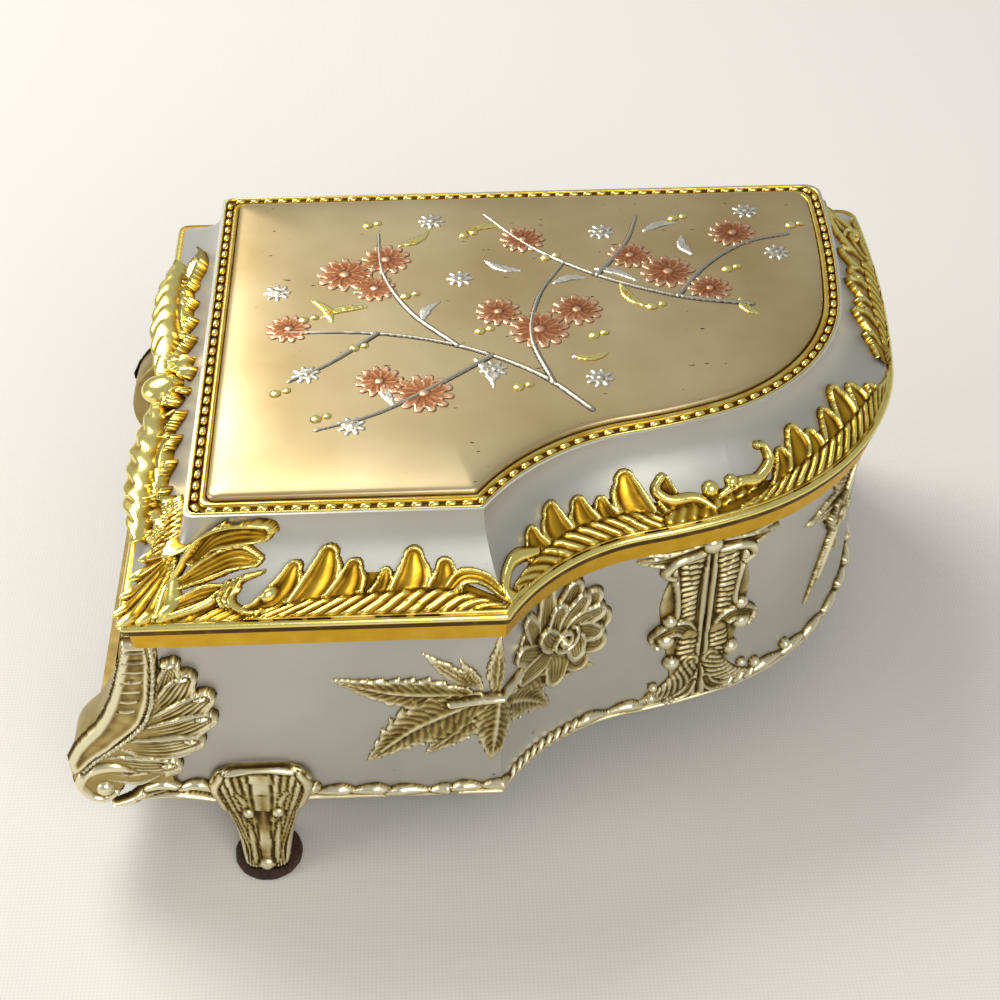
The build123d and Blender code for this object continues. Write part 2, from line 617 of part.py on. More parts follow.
def make_case_ornaments():
    """The cast sprays on the case walls and the pillar under the bent side."""
    skin = ring(CASE_OFFSET + RELIEF, CASE_OFFSET, WALL_FOOT - 2, CASE_TOP)
    rose_leaves = [
        ((44, 38), (21.6, 42.8), 7.5, 1.5), ((44, 40), (37, 48.6), 4.4, 0.6),
        ((46, 34), (26.3, 21.9), 9.0, -2.0), ((46, 35), (38.4, 23.8), 6.6, 0.5),
        ((48, 38), (42.9, 46.8), 3.2, 0.4), ((50, 38), (48.0, 21.4), 7.0, 0.6),
        ((50, 36), (58.6, 24.0), 7.6, 1.0), ((48, 38), (49.4, 52.0), 4.4, -0.6),
        ((52, 40), (54.8, 52.2), 3.4, 0.4), ((52, 35), (66.4, 27.6), 7.0, 0.6),
    ]
    bloom = [((58.2, 38.6), 7.0), ((58.6, 45.6), 3.2), ((64.2, 42.4), 3.6), ((65.0, 35.6), 3.6),
             ((59.8, 31.4), 3.4), ((53.4, 42.6), 3.2), ((47.4, 37.6), 3.0)]
    nodes["rose_spray"] = carve(skin, -REACH, BENT_ZONE, rose_leaves, bloom)
    middle = 86.6
    shafts = [((middle, 13.6), (middle, 53.6), 3.2, 0)]
    bosses = [((middle, 51.6), 2.2), ((middle, 14.4), 2.4)]
    for way in (-1, 1):
        shafts += [
            ((middle + way, 51.0), (middle + way * 13.6, 53.0), 3.4, way * 0.4),
            ((middle + way, 49.4), (middle + way * 11.6, 50.0), 3.0, way * 0.5),
            ((middle + way * 5.0, 51.6), (middle + way * 3.4, 33.6), 6.4, 0),
            ((middle + way * 2.6, 33.0), (middle + way * 3.0, 20.6), 5.6, 0),
            ((middle + way * 2.0, 24.6), (middle + way * 9.6, 14.4), 5.2, way * -1.2)]
        bosses += [((middle + way * 6.6, 34.8), 1.7), ((middle + way * 6.6, 31.0), 2.0),
                   ((middle + way * 5.8, 24.0), 1.6)]
    nodes["pillar_ornament"] = carve(skin, -REACH, BENT_ZONE, shafts, bosses)
    tail_leaves = [((30, 30), (25.0, 37.0), 4.0, 0.6), ((31, 24), (39.0, 15.6), 4.6, 0.6),
                   ((31, 24), (33.0, 47.0), 5.0, -0.8), ((32, 32), (42.0, 49.0), 5.0, 1.0),
                   ((31, 28), (27.0, 20.0), 3.6, 0.6)]
    right = SPINE_LENGTH + REACH
    nodes["tail_spray"] = carve(skin, FRONT_STRAIGHT, right, tail_leaves, [((31, 30), 2.6)], "y")
    centre = DRAWN_LENGTH / 2
    spine = [((centre - 4 * w, 34), (centre - 20 * w, 34 + lift), 7.0, 1.4 * w)
             for w in (-1, 1) for lift in (-8, 2, 11)]
    nodes["spine_spray"] = carve(skin, CASE_DEPTH, CASE_DEPTH + REACH, spine, [((centre, 34), 6.0)])


def pods(first, pitch, count, low):
    """Overlapping pods along the foot of a wall."""
    return [((first + pitch * i, low), (first + pitch * (i + 1) + 1.6, low + 0.4), 3.4, 0.4)
            for i in range(count)]


def make_apron():
    """The scalloped gilt edging along the foot of the walls."""
    skin = ring(CASE_OFFSET + RELIEF, CASE_OFFSET, WALL_FOOT - 2, CASE_TOP)
    low = WALL_FOOT - 0.2
    front = pods(16.6, 6.2, 4, low) + [((40, low), (51, low + 4.6), 3.6, 0.9)]
    nodes["apron_front"] = carve(skin, -REACH, 0, front, [((16.9, low + 1.8), 1.2)])
    bent = [((51.6, low + 3.6), (58, low + 0.8), 3.0, -0.4)] + pods(55, 7.0, 4, low + 0.2)
    bent += [((95.5, low), (102, low + 4.6), 4.0, 0.6), ((101, low + 1), (112, low + 3.0), 4.0, 0.6)]
    berries = [((53.0, low + 4.0), 1.2), ((96.4, low + 4.4), 1.3), ((104.4, low + 3.4), 1.3)]
    apron = carve(skin, -REACH, BENT_ZONE, bent, berries)
    nodes["apron_bentside"] = apron - nodes["pillar_ornament"]
    side = SPINE_LENGTH - TAIL_ZONE
    nodes["apron_tail"] = carve(skin, side, SPINE_LENGTH + REACH, pods(38, 8.6, 6, low), [], "y")
    nodes["apron_spine"] = carve(skin, CASE_DEPTH, CASE_DEPTH + REACH, pods(19.5, 9.0, 10, low), [])


# Feet


def make_feet():
    """Three splayed shell feet with felt pads: two at the keyboard end, one under the tail."""
    rows = ((0.0, FOOT_CAP_WIDTH, FOOT_CAP_DEPTH, 0.0),
            (0.2, FOOT_CAP_WIDTH * 0.84, FOOT_CAP_DEPTH * 0.95, 0.12),
            (0.6, FOOT_TIP_WIDTH * 1.3, FOOT_TIP_DEPTH * 1.1, 0.55),
            (1.0, FOOT_TIP_WIDTH, FOOT_TIP_DEPTH, 1.0))

    def leg_from(top):
        sections = []
        for down, width, depth, splay in rows:
            shape = RectangleRounded(width, depth, depth * 0.42)
            level = top - down * (top - PAD_THICKNESS)
            sections.append((Pos(0, -splay * FOOT_SPLAY, level) * shape).face())
        return loft(sections[::-1])
    face = -FOOT_CAP_DEPTH / 2
    shield = Pos(0, face + FOOT_SHIELD, WALL_FOOT) * Rot(90, 0, 0) * extrude(
        Ellipse(FOOT_CAP_WIDTH / 2, FOOT_SHIELD_HEIGHT), FOOT_SHIELD)
    shield = shield & block((-FOOT_CAP_WIDTH, face - 1, WALL_FOOT),
                            (FOOT_CAP_WIDTH, face + FOOT_SHIELD, CASE_TOP))
    foot = leg_from(WALL_FOOT) + shield
    inset = face + FOOT_SHIELD
    pad = rod(0, -PAD_SPLAY_SHARE * FOOT_SPLAY, 0, PAD_THICKNESS, PAD_RADIUS)
    front = Pos(FOOT_PLACE, -CASE_OFFSET - inset, 0)
    tail_place = (SPINE_LENGTH - TAIL_FOOT_INSET, CASE_DEPTH - TAIL_FOOT_BACK, 0)
    tail = Pos(*tail_place) * Rot(0, 0, 90)
    nodes["foot_front"] = front * foot
    nodes["foot_back"] = mirrored(front * foot)
    nodes["foot_tail"] = tail * leg_from(BASE_BOTTOM)
    nodes["felt_pads"] = group([front * pad, mirrored(front * pad), tail * pad])


# Inside the case


def bed(u, v):
    """A place on the movement, measured from its tail-side corner."""
    return (MOVEMENT_X - u, MOVEMENT_Y + v)


BARREL_U = BARREL_EDGE + BARREL_RADIUS
ARBOR_X, ARBOR_Y = bed(BARREL_U, AXIS_V)
BED_TOP = BASE_TOP + BED
BARREL_TOP = BED_TOP + BARREL_HEIGHT
WHEEL_TOP = BARREL_TOP + FIT_GAP + GREAT_WHEEL
FACE_RADIUS = WHEEL_MODULE * GREAT_TEETH / 2
AXIS_Z = WHEEL_TOP + WHEEL_MODULE * (TOOTH_DEDENDUM + DRUM_PINION_TEETH / 2)
FACE_TOP = WHEEL_TOP + WHEEL_MODULE * (TOOTH_DEDENDUM + TOOTH_ADDENDUM)
DRUM_START = BARREL_U + BARREL_RADIUS + 1.0
DRUM_LENGTH = NOTES * NOTE_PITCH + 2 * DRUM_MARGIN
DRUM_END = DRUM_START + DRUM_LENGTH
TRAIN_DISTANCE = TRAIN_MODULE * (DRUM_WHEEL_TEETH + GOVERNOR_PINION_TEETH) / 2
GOVERNOR_V = AXIS_V - TRAIN_DISTANCE
GOVERNOR_RADIUS = TRAIN_MODULE * GOVERNOR_WHEEL_TEETH / 2
GOVERNOR_U = DRUM_END + GEAR + GEAR_GAP
SPINDLE_U = GOVERNOR_U + GEAR / 2
SPINDLE_V = GOVERNOR_V - GOVERNOR_RADIUS - TRAIN_MODULE * TOOTH_ADDENDUM - WORM_GAP - WORM_RADIUS
PLATE_U = GOVERNOR_U + GEAR + GEAR_GAP
ARM_Z = AXIS_Z + 0.75 * GOVERNOR_RADIUS
FAN_Z = AXIS_Z + GOVERNOR_RADIUS + TRAIN_MODULE * TOOTH_ADDENDUM + FIT_GAP
STOP_U = SPINDLE_U - FAN_RADIUS - FIT_GAP - STOP_ROD_RADIUS
COVER_TOP = FAN_Z + FAN_HEIGHT + COVER_HEADROOM + COVER
COMB_V = AXIS_V + DRUM_RADIUS + PIN_PROUD + COMB_TIP_GAP


def bed_screw_places():
    inset = BED_SCREW_INSET
    return [bed(inset, BED_WIDTH - inset), bed(BED_LENGTH - inset, BED_WIDTH - inset), bed(inset, inset)]


def make_base():
    plate = prism(CASE_INNER - FIT_GAP, BASE_BOTTOM, BASE_TOP)
    places = boss_places() + bed_screw_places()
    for x, y in places:
        plate -= rod(x, y, BASE_BOTTOM - 1, BASE_TOP + 1, SCREW_RADIUS + SNUG)
    plate -= rod(ARBOR_X, ARBOR_Y, BASE_BOTTOM - 1, BASE_TOP + 1, KEY_HUB_RADIUS + FIT_GAP)
    nodes["base_plate"] = plate
    head = BASE_BOTTOM - SCREW_HEAD
    nodes["base_screws"] = group([screw(x, y, head) for x, y in boss_places()])
    nodes["movement_screws"] = group([screw(x, y, head) for x, y in bed_screw_places()])


def make_well():
    """The lined well, the partition and the clear cover over the movement."""
    room = CASE_INNER - FIT_GAP
    far = (SPINE_LENGTH + REACH, CASE_DEPTH + REACH)
    floor = WELL_BOTTOM + WELL_FLOOR
    well_end = PARTITION_X - FIT_GAP
    left = block((-REACH, -REACH, 0), (well_end, far[1], LID_TOP))
    nodes["well_floor"] = prism(room, WELL_BOTTOM, floor) & left
    inner = block((-REACH, -REACH, 0), (well_end - LINING, far[1], LID_TOP))
    outside = prism(room, floor, LINING_TOP) & left
    nodes["well_lining"] = outside - (prism(room - LINING, floor - 1, LINING_TOP + 1) & inner)
    slab = block((PARTITION_X, -REACH, BASE_TOP), (PARTITION_X + PARTITION, far[1], LINING_TOP))
    nodes["partition"] = slab & prism(room, BASE_TOP, LINING_TOP)
    edge = PARTITION_X + PARTITION + FIT_GAP
    right = block((edge, -REACH, 0), (*far, LID_TOP))
    hollow_side = block((edge + COVER, -REACH, 0), (*far, LID_TOP))
    cover = prism(room, BASE_TOP, COVER_TOP) & right
    cover -= prism(room - COVER, BASE_TOP - 1, COVER_TOP - COVER) & hollow_side
    for x, y in boss_places():
        cover -= rod(x, y, BASE_TOP - 1, WELL_BOTTOM + FIT_GAP, BOSS_RADIUS + FIT_GAP)
    x, y = bed(STOP_U, SPINDLE_V)
    nodes["movement_cover"] = cover - rod(x, y, BASE_TOP, COVER_TOP + 1, STOP_ROD_RADIUS + FIT_GAP)


# Musical movement


def toothed(teeth, module, phase):
    """A flat gear outline with straight-sided teeth, turned by a share of a tooth."""
    pitch_radius = module * teeth / 2
    tip, root = pitch_radius + TOOTH_ADDENDUM * module, pitch_radius - TOOTH_DEDENDUM * module
    step = 2 * pi / teeth
    points = []
    for i in range(teeth):
        middle = (i + phase) * step
        for radius, share in ((root, -0.62), (tip, -0.3), (tip, 0.3), (root, 0.62)):
            angle = middle + step * TOOTH_SHARE * share * 1.35
            points.append((radius * cos(angle), radius * sin(angle)))
    return Face(Wire(Polyline(*points, close=True)))


def gear_x(u, v, teeth, module, thickness, bore, phase=0):
    """A gear on an axle along X."""
    x, y = bed(u + thickness, v)
    wheel = extrude(toothed(teeth, module, phase), thickness, dir=(0, 0, 1))
    wheel = Pos(x, y, AXIS_Z) * Rot(0, 90, 0) * wheel
    return wheel - rod_x(x - 1, x + thickness + 1, y, AXIS_Z, bore)


def make_winding():
    """Barrel with its mainspring, arbor, crown wheel and the key below."""
    barrel = rod(ARBOR_X, ARBOR_Y, BED_TOP, BARREL_TOP, BARREL_RADIUS)
    barrel -= rod(ARBOR_X, ARBOR_Y, BED_TOP + BARREL_WALL, BARREL_TOP + 1, BARREL_RADIUS - BARREL_WALL)
    nodes["spring_barrel"] = barrel - rod(ARBOR_X, ARBOR_Y, 0, BARREL_TOP, ARBOR_RADIUS + SNUG)
    nodes["mainspring"] = make_mainspring()
    wheel = rod(ARBOR_X, ARBOR_Y, BARREL_TOP + FIT_GAP, WHEEL_TOP, FACE_RADIUS + FACE_WIDTH / 2)
    wheel -= rod(ARBOR_X, ARBOR_Y, 0, FACE_TOP, ARBOR_RADIUS + SNUG)
    tooth = make_crown_tooth()
    teeth = [Pos(ARBOR_X, ARBOR_Y, WHEEL_TOP) * Rot(0, 0, 360 * (i + 0.5) / GREAT_TEETH) * tooth
             for i in range(GREAT_TEETH)]
    nodes["crown_wheel"] = wheel.fuse(*teeth)
    hub_top = BASE_BOTTOM + SNUG
    hub_low = hub_top - KEY_HUB
    arbor = rod(ARBOR_X, ARBOR_Y, hub_low + 1, FACE_TOP, ARBOR_RADIUS)
    nodes["winding_arbor"] = arbor
    hub = rod(ARBOR_X, ARBOR_Y, hub_low, hub_top, KEY_HUB_RADIUS)
    hub -= rod(ARBOR_X, ARBOR_Y, hub_low + 1, hub_top + 1, ARBOR_RADIUS + SNUG)
    key_z = hub_low - KEY_DEPTH / 2
    wings = []
    for way in (-1, 1):
        bow_plate = Ellipse(KEY_SPAN / 4 + 0.6, KEY_DEPTH / 2) - Circle(KEY_DEPTH / 4)
        turned = Pos(ARBOR_X + way * KEY_SPAN / 4, ARBOR_Y + KEY_PLATE / 2, key_z) * Rot(90, 0, 0)
        wings.append(turned * extrude(bow_plate, KEY_PLATE))
    neck = block((ARBOR_X - KEY_HUB_RADIUS * 0.8, ARBOR_Y - KEY_PLATE / 2, key_z),
                 (ARBOR_X + KEY_HUB_RADIUS * 0.8, ARBOR_Y + KEY_PLATE / 2, hub_low))
    nodes["winding_key"] = hub + neck + wings[0] + wings[1]


def make_crown_tooth():
    """One straight-sided tooth that stands on the crown wheel, pointing along X."""
    low, high = FACE_RADIUS - FACE_WIDTH / 2, FACE_RADIUS + FACE_WIDTH / 2
    height = WHEEL_MODULE * (TOOTH_ADDENDUM + TOOTH_DEDENDUM)
    pitch = pi * WHEEL_MODULE
    foot, tip = pitch * TOOTH_SHARE * 0.8, pitch * TOOTH_SHARE * 0.36
    points = [(low, -foot, -0.1), (low, foot, -0.1), (low, tip, height), (low, -tip, height)]
    return extrude(Face(Wire(Polyline(*points, close=True))), high - low, dir=(1, 0, 0))


def make_mainspring():
    """A flat steel strip wound in half turns from the arbor to the barrel wall."""
    first = ARBOR_RADIUS + 2 * FIT_GAP
    last = BARREL_RADIUS - BARREL_WALL - FIT_GAP
    halves = 2 * SPRING_TURNS
    step = (last - first - SPRING_STRIP) / halves
    edges = []
    for side in (0, SPRING_STRIP):
        arcs = []
        x = ARBOR_X + first + side
        for i in range(halves):
            radius = first + side + (i + 0.5) * step
            way = 1 if i % 2 == 0 else -1
            end = x - way * 2 * radius
            arcs.append(ThreePointArc((x, ARBOR_Y), ((x + end) / 2, ARBOR_Y + way * radius), (end, ARBOR_Y)))
            x = end
        edges.append(arcs)
    inner, outer = edges
    closing = [Line(inner[0] @ 0, outer[0] @ 0), Line(inner[-1] @ 1, outer[-1] @ 1)]
    face = Face(Wire(inner + outer + closing))
    low = BED_TOP + BARREL_WALL + FIT_GAP
    return extrude(Pos(0, 0, low) * face, BARREL_TOP - FIT_GAP - low, dir=(0, 0, 1))


def pin_angle(note, index):
    """Where each pin stands round the cylinder: a steady scatter, like a tune."""
    return (360.0 * index / PINS_PER_NOTE + 137.5 * note + 23.0 * ((index * index) % 3)) % 360


def make_drum():
    start_x, y = bed(DRUM_END, AXIS_V)
    end_x = start_x + DRUM_LENGTH
    drum = rod_x(start_x, end_x, y, AXIS_Z, DRUM_RADIUS)
    drum -= rod_x(start_x + DRUM_WALL, end_x - DRUM_WALL, y, AXIS_Z, DRUM_RADIUS - DRUM_WALL)
    drum -= rod_x(start_x - 1, end_x + 1, y, AXIS_Z, SHAFT_RADIUS + SNUG)
    pins = []
    for note in range(NOTES):
        x = start_x + DRUM_MARGIN + (note + 0.5) * NOTE_PITCH
        for index in range(PINS_PER_NOTE):
            pin = extrude(RegularPolygon(PIN_RADIUS, 4), PIN_PROUD + DRUM_WALL / 2)
            turn = Rot(pin_angle(note, index), 0, 0)
            pins.append(Pos(x, y, AXIS_Z) * turn * Pos(0, 0, DRUM_RADIUS - DRUM_WALL / 2) * pin)
    nodes["pinned_cylinder"] = drum.fuse(*pins)
    shaft_end, _ = bed(BARREL_U + 3.0, AXIS_V)
    shaft_start, _ = bed(PLATE_U + PLATE, AXIS_V)
    pinion_u = BARREL_U + FACE_RADIUS - FACE_WIDTH / 2
    pinion = gear_x(pinion_u, AXIS_V, DRUM_PINION_TEETH, WHEEL_MODULE, FACE_WIDTH, SHAFT_RADIUS)
    nodes["cylinder_arbor"] = rod_x(shaft_start, shaft_end, y, AXIS_Z, SHAFT_RADIUS) + pinion
    nodes["cylinder_wheel"] = gear_x(DRUM_END, AXIS_V, DRUM_WHEEL_TEETH, TRAIN_MODULE, GEAR,
                                     SHAFT_RADIUS + SNUG)


def make_governor():
    x, y = bed(PLATE_U + PLATE, GOVERNOR_V)
    far_x, _ = bed(DRUM_END - GEAR_GAP - PLATE, GOVERNOR_V)
    arbor = rod_x(x, far_x, y, AXIS_Z, SHAFT_RADIUS)
    pinion = gear_x(DRUM_END, GOVERNOR_V, GOVERNOR_PINION_TEETH, TRAIN_MODULE, GEAR, SHAFT_RADIUS, 0.5)
    wheel = gear_x(GOVERNOR_U, GOVERNOR_V, GOVERNOR_WHEEL_TEETH, TRAIN_MODULE, GEAR, SHAFT_RADIUS)
    nodes["governor_wheel"] = arbor + pinion + wheel
    sx, sy = bed(SPINDLE_U, SPINDLE_V)
    spindle = rod(sx, sy, BED_TOP - SPINDLE_SEAT, FAN_Z + FAN_HEIGHT, SPINDLE_RADIUS)
    worm = rod(sx, sy, AXIS_Z - WORM_LENGTH / 2, AXIS_Z + WORM_LENGTH / 2, WORM_RADIUS)
    low, high = FAN_Z, FAN_Z + FAN_HEIGHT
    blade_a = block((sx - FAN_RADIUS, sy - FAN_BLADE / 2, low), (sx + FAN_RADIUS, sy + FAN_BLADE / 2, high))
    nodes["fan_spindle"] = spindle + worm + blade_a


def make_frames():
    """Bedplate, its bearing plates and the bridge over the barrel."""
    corner = bed(BED_LENGTH, 0)
    plate = block((*corner, BASE_TOP), (corner[0] + BED_LENGTH, corner[1] + BED_WIDTH, BED_TOP))
    comb_low, comb_top = AXIS_Z - COMB / 2, AXIS_Z + COMB / 2
    block_x, block_y = bed(DRUM_END, BED_WIDTH - COMB_BLOCK)
    plate += block((block_x, block_y, BED_TOP), (block_x + DRUM_LENGTH, block_y + COMB_BLOCK, comb_low))
    plate -= rod(ARBOR_X, ARBOR_Y, 0, BED_TOP + 1, ARBOR_RADIUS + SNUG)
    for x, y in bed_screw_places():
        plate -= rod(x, y, 0, BED_TOP + 1, SCREW_RADIUS + SNUG)
    sx, sy = bed(SPINDLE_U, SPINDLE_V)
    plate -= rod(sx, sy, BED_TOP - SPINDLE_SEAT - SNUG, BED_TOP + 1, SPINDLE_RADIUS + SNUG)
    screws, holes = [], []
    comb_screw_y = block_y + COMB_BLOCK / 2
    for i in range(COMB_SCREWS):
        x = block_x + DRUM_LENGTH * (i + 0.5) / COMB_SCREWS
        holes.append(rod(x, comb_screw_y, comb_low - 3, comb_top + 1, SCREW_RADIUS + SNUG))
        head = rod(x, comb_screw_y, comb_top, comb_top + SCREW_HEAD, 0.9 * SCREW_HEAD_RADIUS)
        screws.append(head + rod(x, comb_screw_y, comb_low - 2.5, comb_top + SCREW_HEAD, SCREW_RADIUS))
    nodes["bedplate"] = plate - group(holes)
    nodes["comb_screws"] = group(screws)
    nodes["comb"] = make_comb(block_x, comb_low) - group(holes)
    y_axis = bed(0, AXIS_V)[1]
    bridge_x = bed(BARREL_U + 3.0 + BRIDGE_WIDTH, 0)[0]
    reach = BARREL_RADIUS + FIT_GAP + PLATE
    low, high = FACE_TOP + FIT_GAP, AXIS_Z + BRIDGE / 2
    bridge = block((bridge_x, y_axis - reach, low), (bridge_x + BRIDGE_WIDTH, y_axis + reach, high))
    for way in (-1, 1):
        edge = y_axis + way * reach
        bridge += block((bridge_x, min(edge, edge - way * PLATE), BED_TOP),
                        (bridge_x + BRIDGE_WIDTH, max(edge, edge - way * PLATE), high))
    nodes["barrel_bridge"] = bridge - rod_x(bridge_x - 1, bridge_x + BRIDGE_WIDTH + 1, y_axis, AXIS_Z,
                                            SHAFT_RADIUS + SNUG)
    nodes["governor_frame"] = make_governor_frame(y_axis)


def make_governor_frame(y_axis):
    """Two bearing plates and the arm that steadies the fan spindle."""
    outer = bed(PLATE_U + PLATE, 0)[0]
    inner = bed(DRUM_END - GEAR_GAP, 0)[0]
    y = bed(0, GOVERNOR_V)[1]
    sx, sy = bed(SPINDLE_U, SPINDLE_V)
    half = BEARING_HALF
    high = AXIS_Z + half
    plates = block((outer, sy - half, BED_TOP), (outer + PLATE, y_axis + half, high))
    plates += block((outer, sy - half, BED_TOP), (outer + PLATE, sy + half, ARM_Z + PLATE))
    plates += block((outer, sy - half, ARM_Z), (sx + half, sy + half, ARM_Z + PLATE))
    plates -= rod_x(outer - 1, outer + PLATE + 1, y_axis, AXIS_Z, SHAFT_RADIUS + SNUG)
    plates -= rod_x(outer - 1, outer + PLATE + 1, y, AXIS_Z, SHAFT_RADIUS + SNUG)
    plates -= rod(sx, sy, ARM_Z - 1, ARM_Z + PLATE + 1, SPINDLE_RADIUS + SNUG)
    post = block((inner, y - half, BED_TOP), (inner + PLATE, y + half * 0.8, high))
    post -= rod_x(inner - 1, inner + PLATE + 1, y, AXIS_Z, SHAFT_RADIUS + SNUG)
    return group([plates, post])


def make_comb(block_x, comb_low):
    """The steel comb: eighteen teeth that shorten towards the treble."""
    tip_y = bed(0, COMB_V)[1]
    back_y = bed(0, BED_WIDTH)[1]
    comb = block((block_x, tip_y, comb_low), (block_x + DRUM_LENGTH, back_y, comb_low + COMB))
    slots = []
    for i in range(NOTES + 1):
        x = block_x + DRUM_MARGIN + i * NOTE_PITCH
        length = COMB_TOOTH_SHORT + (COMB_TOOTH_LONG - COMB_TOOTH_SHORT) * i / NOTES
        slots.append(block((x - COMB_SLOT / 2, tip_y - 1, comb_low - 1), (x + COMB_SLOT / 2, tip_y + length,
                                                                       comb_low + COMB + 1)))
    return comb - group(slots)


def make_stop():
    """The rod that the closing lid presses down to hold the fan."""
    x, y = bed(STOP_U, SPINDLE_V)
    guide_top = BED_TOP + STOP_GUIDE_HEIGHT
    guide = rod(x, y, BED_TOP, guide_top, STOP_ROD_RADIUS + STOP_GUIDE_WALL)
    nodes["stop_guide"] = guide - rod(x, y, BED_TOP, guide_top + 1, STOP_ROD_RADIUS + SNUG)
    top = LID_BOTTOM + LINING_SETBACK - FIT_GAP
    nodes["stop_rod"] = rod(x, y, guide_top - STOP_ROD_LAP, top, STOP_ROD_RADIUS)


def main():
    os.makedirs("parts", exist_ok=True)
    make_lid()
    make_lid_borders()
    make_hinge()
    make_case()
    make_keyboard()
    make_cheeks()
    make_case_ornaments()
    make_apron()
    make_feet()
    make_base()
    make_well()
    make_winding()
    make_drum()
    make_governor()
    make_frames()
    make_stop()
    whole = Compound([solid for shape in nodes.values() for solid in shape.solids()]).bounding_box()
    centre = whole.center()
    print("size", whole.size, "shift", -centre.X, -centre.Y)
    for name, shape in nodes.items():
        solids = shape.solids()
        kept = solids[0] if len(solids) == 1 else Compound(solids)
        export_step(Pos(-centre.X, -centre.Y, 0) * kept, f"parts/{name}.step")


main()
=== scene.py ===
from math import atan2, cos, hypot, pi, radians, sin

import bmesh
import bpy
import numpy as np
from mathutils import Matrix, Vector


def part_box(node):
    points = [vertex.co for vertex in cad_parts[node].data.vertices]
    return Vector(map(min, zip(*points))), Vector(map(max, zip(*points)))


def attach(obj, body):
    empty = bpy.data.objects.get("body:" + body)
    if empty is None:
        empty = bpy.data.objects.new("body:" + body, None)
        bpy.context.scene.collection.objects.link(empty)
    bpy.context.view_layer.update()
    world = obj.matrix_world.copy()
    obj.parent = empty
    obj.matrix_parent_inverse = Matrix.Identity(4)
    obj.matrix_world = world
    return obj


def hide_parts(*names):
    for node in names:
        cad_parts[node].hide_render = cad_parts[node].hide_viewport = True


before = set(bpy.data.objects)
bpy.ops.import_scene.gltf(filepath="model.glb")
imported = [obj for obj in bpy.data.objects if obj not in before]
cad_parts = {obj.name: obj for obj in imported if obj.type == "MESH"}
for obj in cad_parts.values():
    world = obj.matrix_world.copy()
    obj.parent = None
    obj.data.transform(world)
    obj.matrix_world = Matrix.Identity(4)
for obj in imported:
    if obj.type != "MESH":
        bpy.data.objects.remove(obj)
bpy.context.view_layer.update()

# Looks for a musical jewelry box in the shape of a grand piano. Sizes are millimetres in the
# box's own plan, as in the part's source: X along the spine to the tail, Y back to the spine
# and Z up from the table. to_row() turns them into metres in the frame.

# Plan outline at the beaded edge of the lid
SPINE_LENGTH = 116.0
CASE_DEPTH = 91.0
FRONT_STRAIGHT = 47.0
NOSE_SLIP = 0.32
WAIST = (72.4, 17.2)
WAIST_HEADING = radians(11.6)
BELLY_RADIUS = 108.0
BELLY_HEADING = radians(20.1)
TAIL_RADIUS = 40.0
TAIL_HEADING = radians(81.3)
CORNER_RADIUS = 1.5
TAIL_CORNER_RADIUS = 3.0

# Levels and walls
WALL_FOOT = 13.0
CASE_TOP = 54.2
LID_BOTTOM = 57.9
RIM_TOP = 60.1
LID_TOP = 73.4
COVE_HEIGHT = LID_TOP - RIM_TOP
BEAD_SEAT = 72.6
CASE_OFFSET = 7.8
LID_FLARE = 10.4
LID_LIP = 0.3
COVE_POWER = 2.2
RELIEF = 1.1
RIM_OFFSET = LID_FLARE + RELIEF

# Beads: their spacing, the line they stand on, the floor of their channel and a bead's half sizes
BEAD_PITCH = 2.7
BEAD_OFFSET = -1.25
BEAD_FLOOR = 73.05
BEAD_HALVES = (0.37 * BEAD_PITCH, 0.58, 0.75)

# Plaque, keyboard end and feet
PILLOW_INSETS = (3.2, 3.3, 3.6, 4.2, 5.5, 7.0, 9.0, 11.5, 14.0, 15.5)
PILLOW_LEVELS = (73.7, 74.1, 74.32, 74.47, 74.64, 74.76, 74.87, 74.95, 74.99, 75.0)
INLAY = 0.3
CHEEK_FRONT = -8.8
CHEEK_THICKNESS = 9.0
FOOT_PLACE = 7.6
FOOT_Y = -6.0
TAIL_FOOT = (114.0, 75.0)
PAD_RADIUS = 6.0
PAD_SPLAY = 4.48

# Relief: how much the high parts swell out at the keyboard end and from what height, the cell of a
# height field, and how deep its edge sinks into the wall
SIDE_SWELL = 1.3
SWELL_FROM = 0.4
CELL = 0.26
SINK = 0.35

# How steeply a stroke's sides fall, and how relief turns into the tone of the gilding, painted shade in the
# hollows
# and a painted highlight on the ridges: how often heights are averaged, how sharply a ridge shows and how
# much sheer height adds to the highlight
SIDE_FALL = 1.6
RIDGE_AVERAGING = 22
RIDGE_GAIN = 1.5
RIDGE_LIFT = 0.12
RIDGE_LEVEL = 0.6

rim_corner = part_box("lid_rim_band")[0]
plan_origin = np.array([rim_corner.x + RIM_OFFSET / 1000, rim_corner.y + RIM_OFFSET / 1000, 0])


def to_row(points):
    """Millimetres in the plan turned into metres in the frame."""
    return np.asarray(points, float) / 1000 + plan_origin


# Plan curves


def arc_run(start, heading, end, count):
    """Samples of the arc that leaves start along heading and ends at end."""
    chord = (end[0] - start[0], end[1] - start[1])
    half = (atan2(chord[1], chord[0]) - heading + pi) % (2 * pi) - pi
    shares = np.arange(count) / count
    reach = hypot(*chord) / sin(half) * np.sin(half * shares)
    turned = heading + half * shares
    return np.stack([start[0] + reach * np.cos(turned), start[1] + reach * np.sin(turned)], 1)


def line_run(start, end, count):
    """Samples of a straight run."""
    shares = np.arange(count)[:, None] / count
    return np.array(start) + shares * (np.array(end) - np.array(start))


def swing(start, radius, turn_from, turn_to):
    """Where a left-hand arc ends that runs between two headings."""
    return (start[0] + radius * (sin(turn_to) - sin(turn_from)),
            start[1] + radius * (cos(turn_from) - cos(turn_to)))


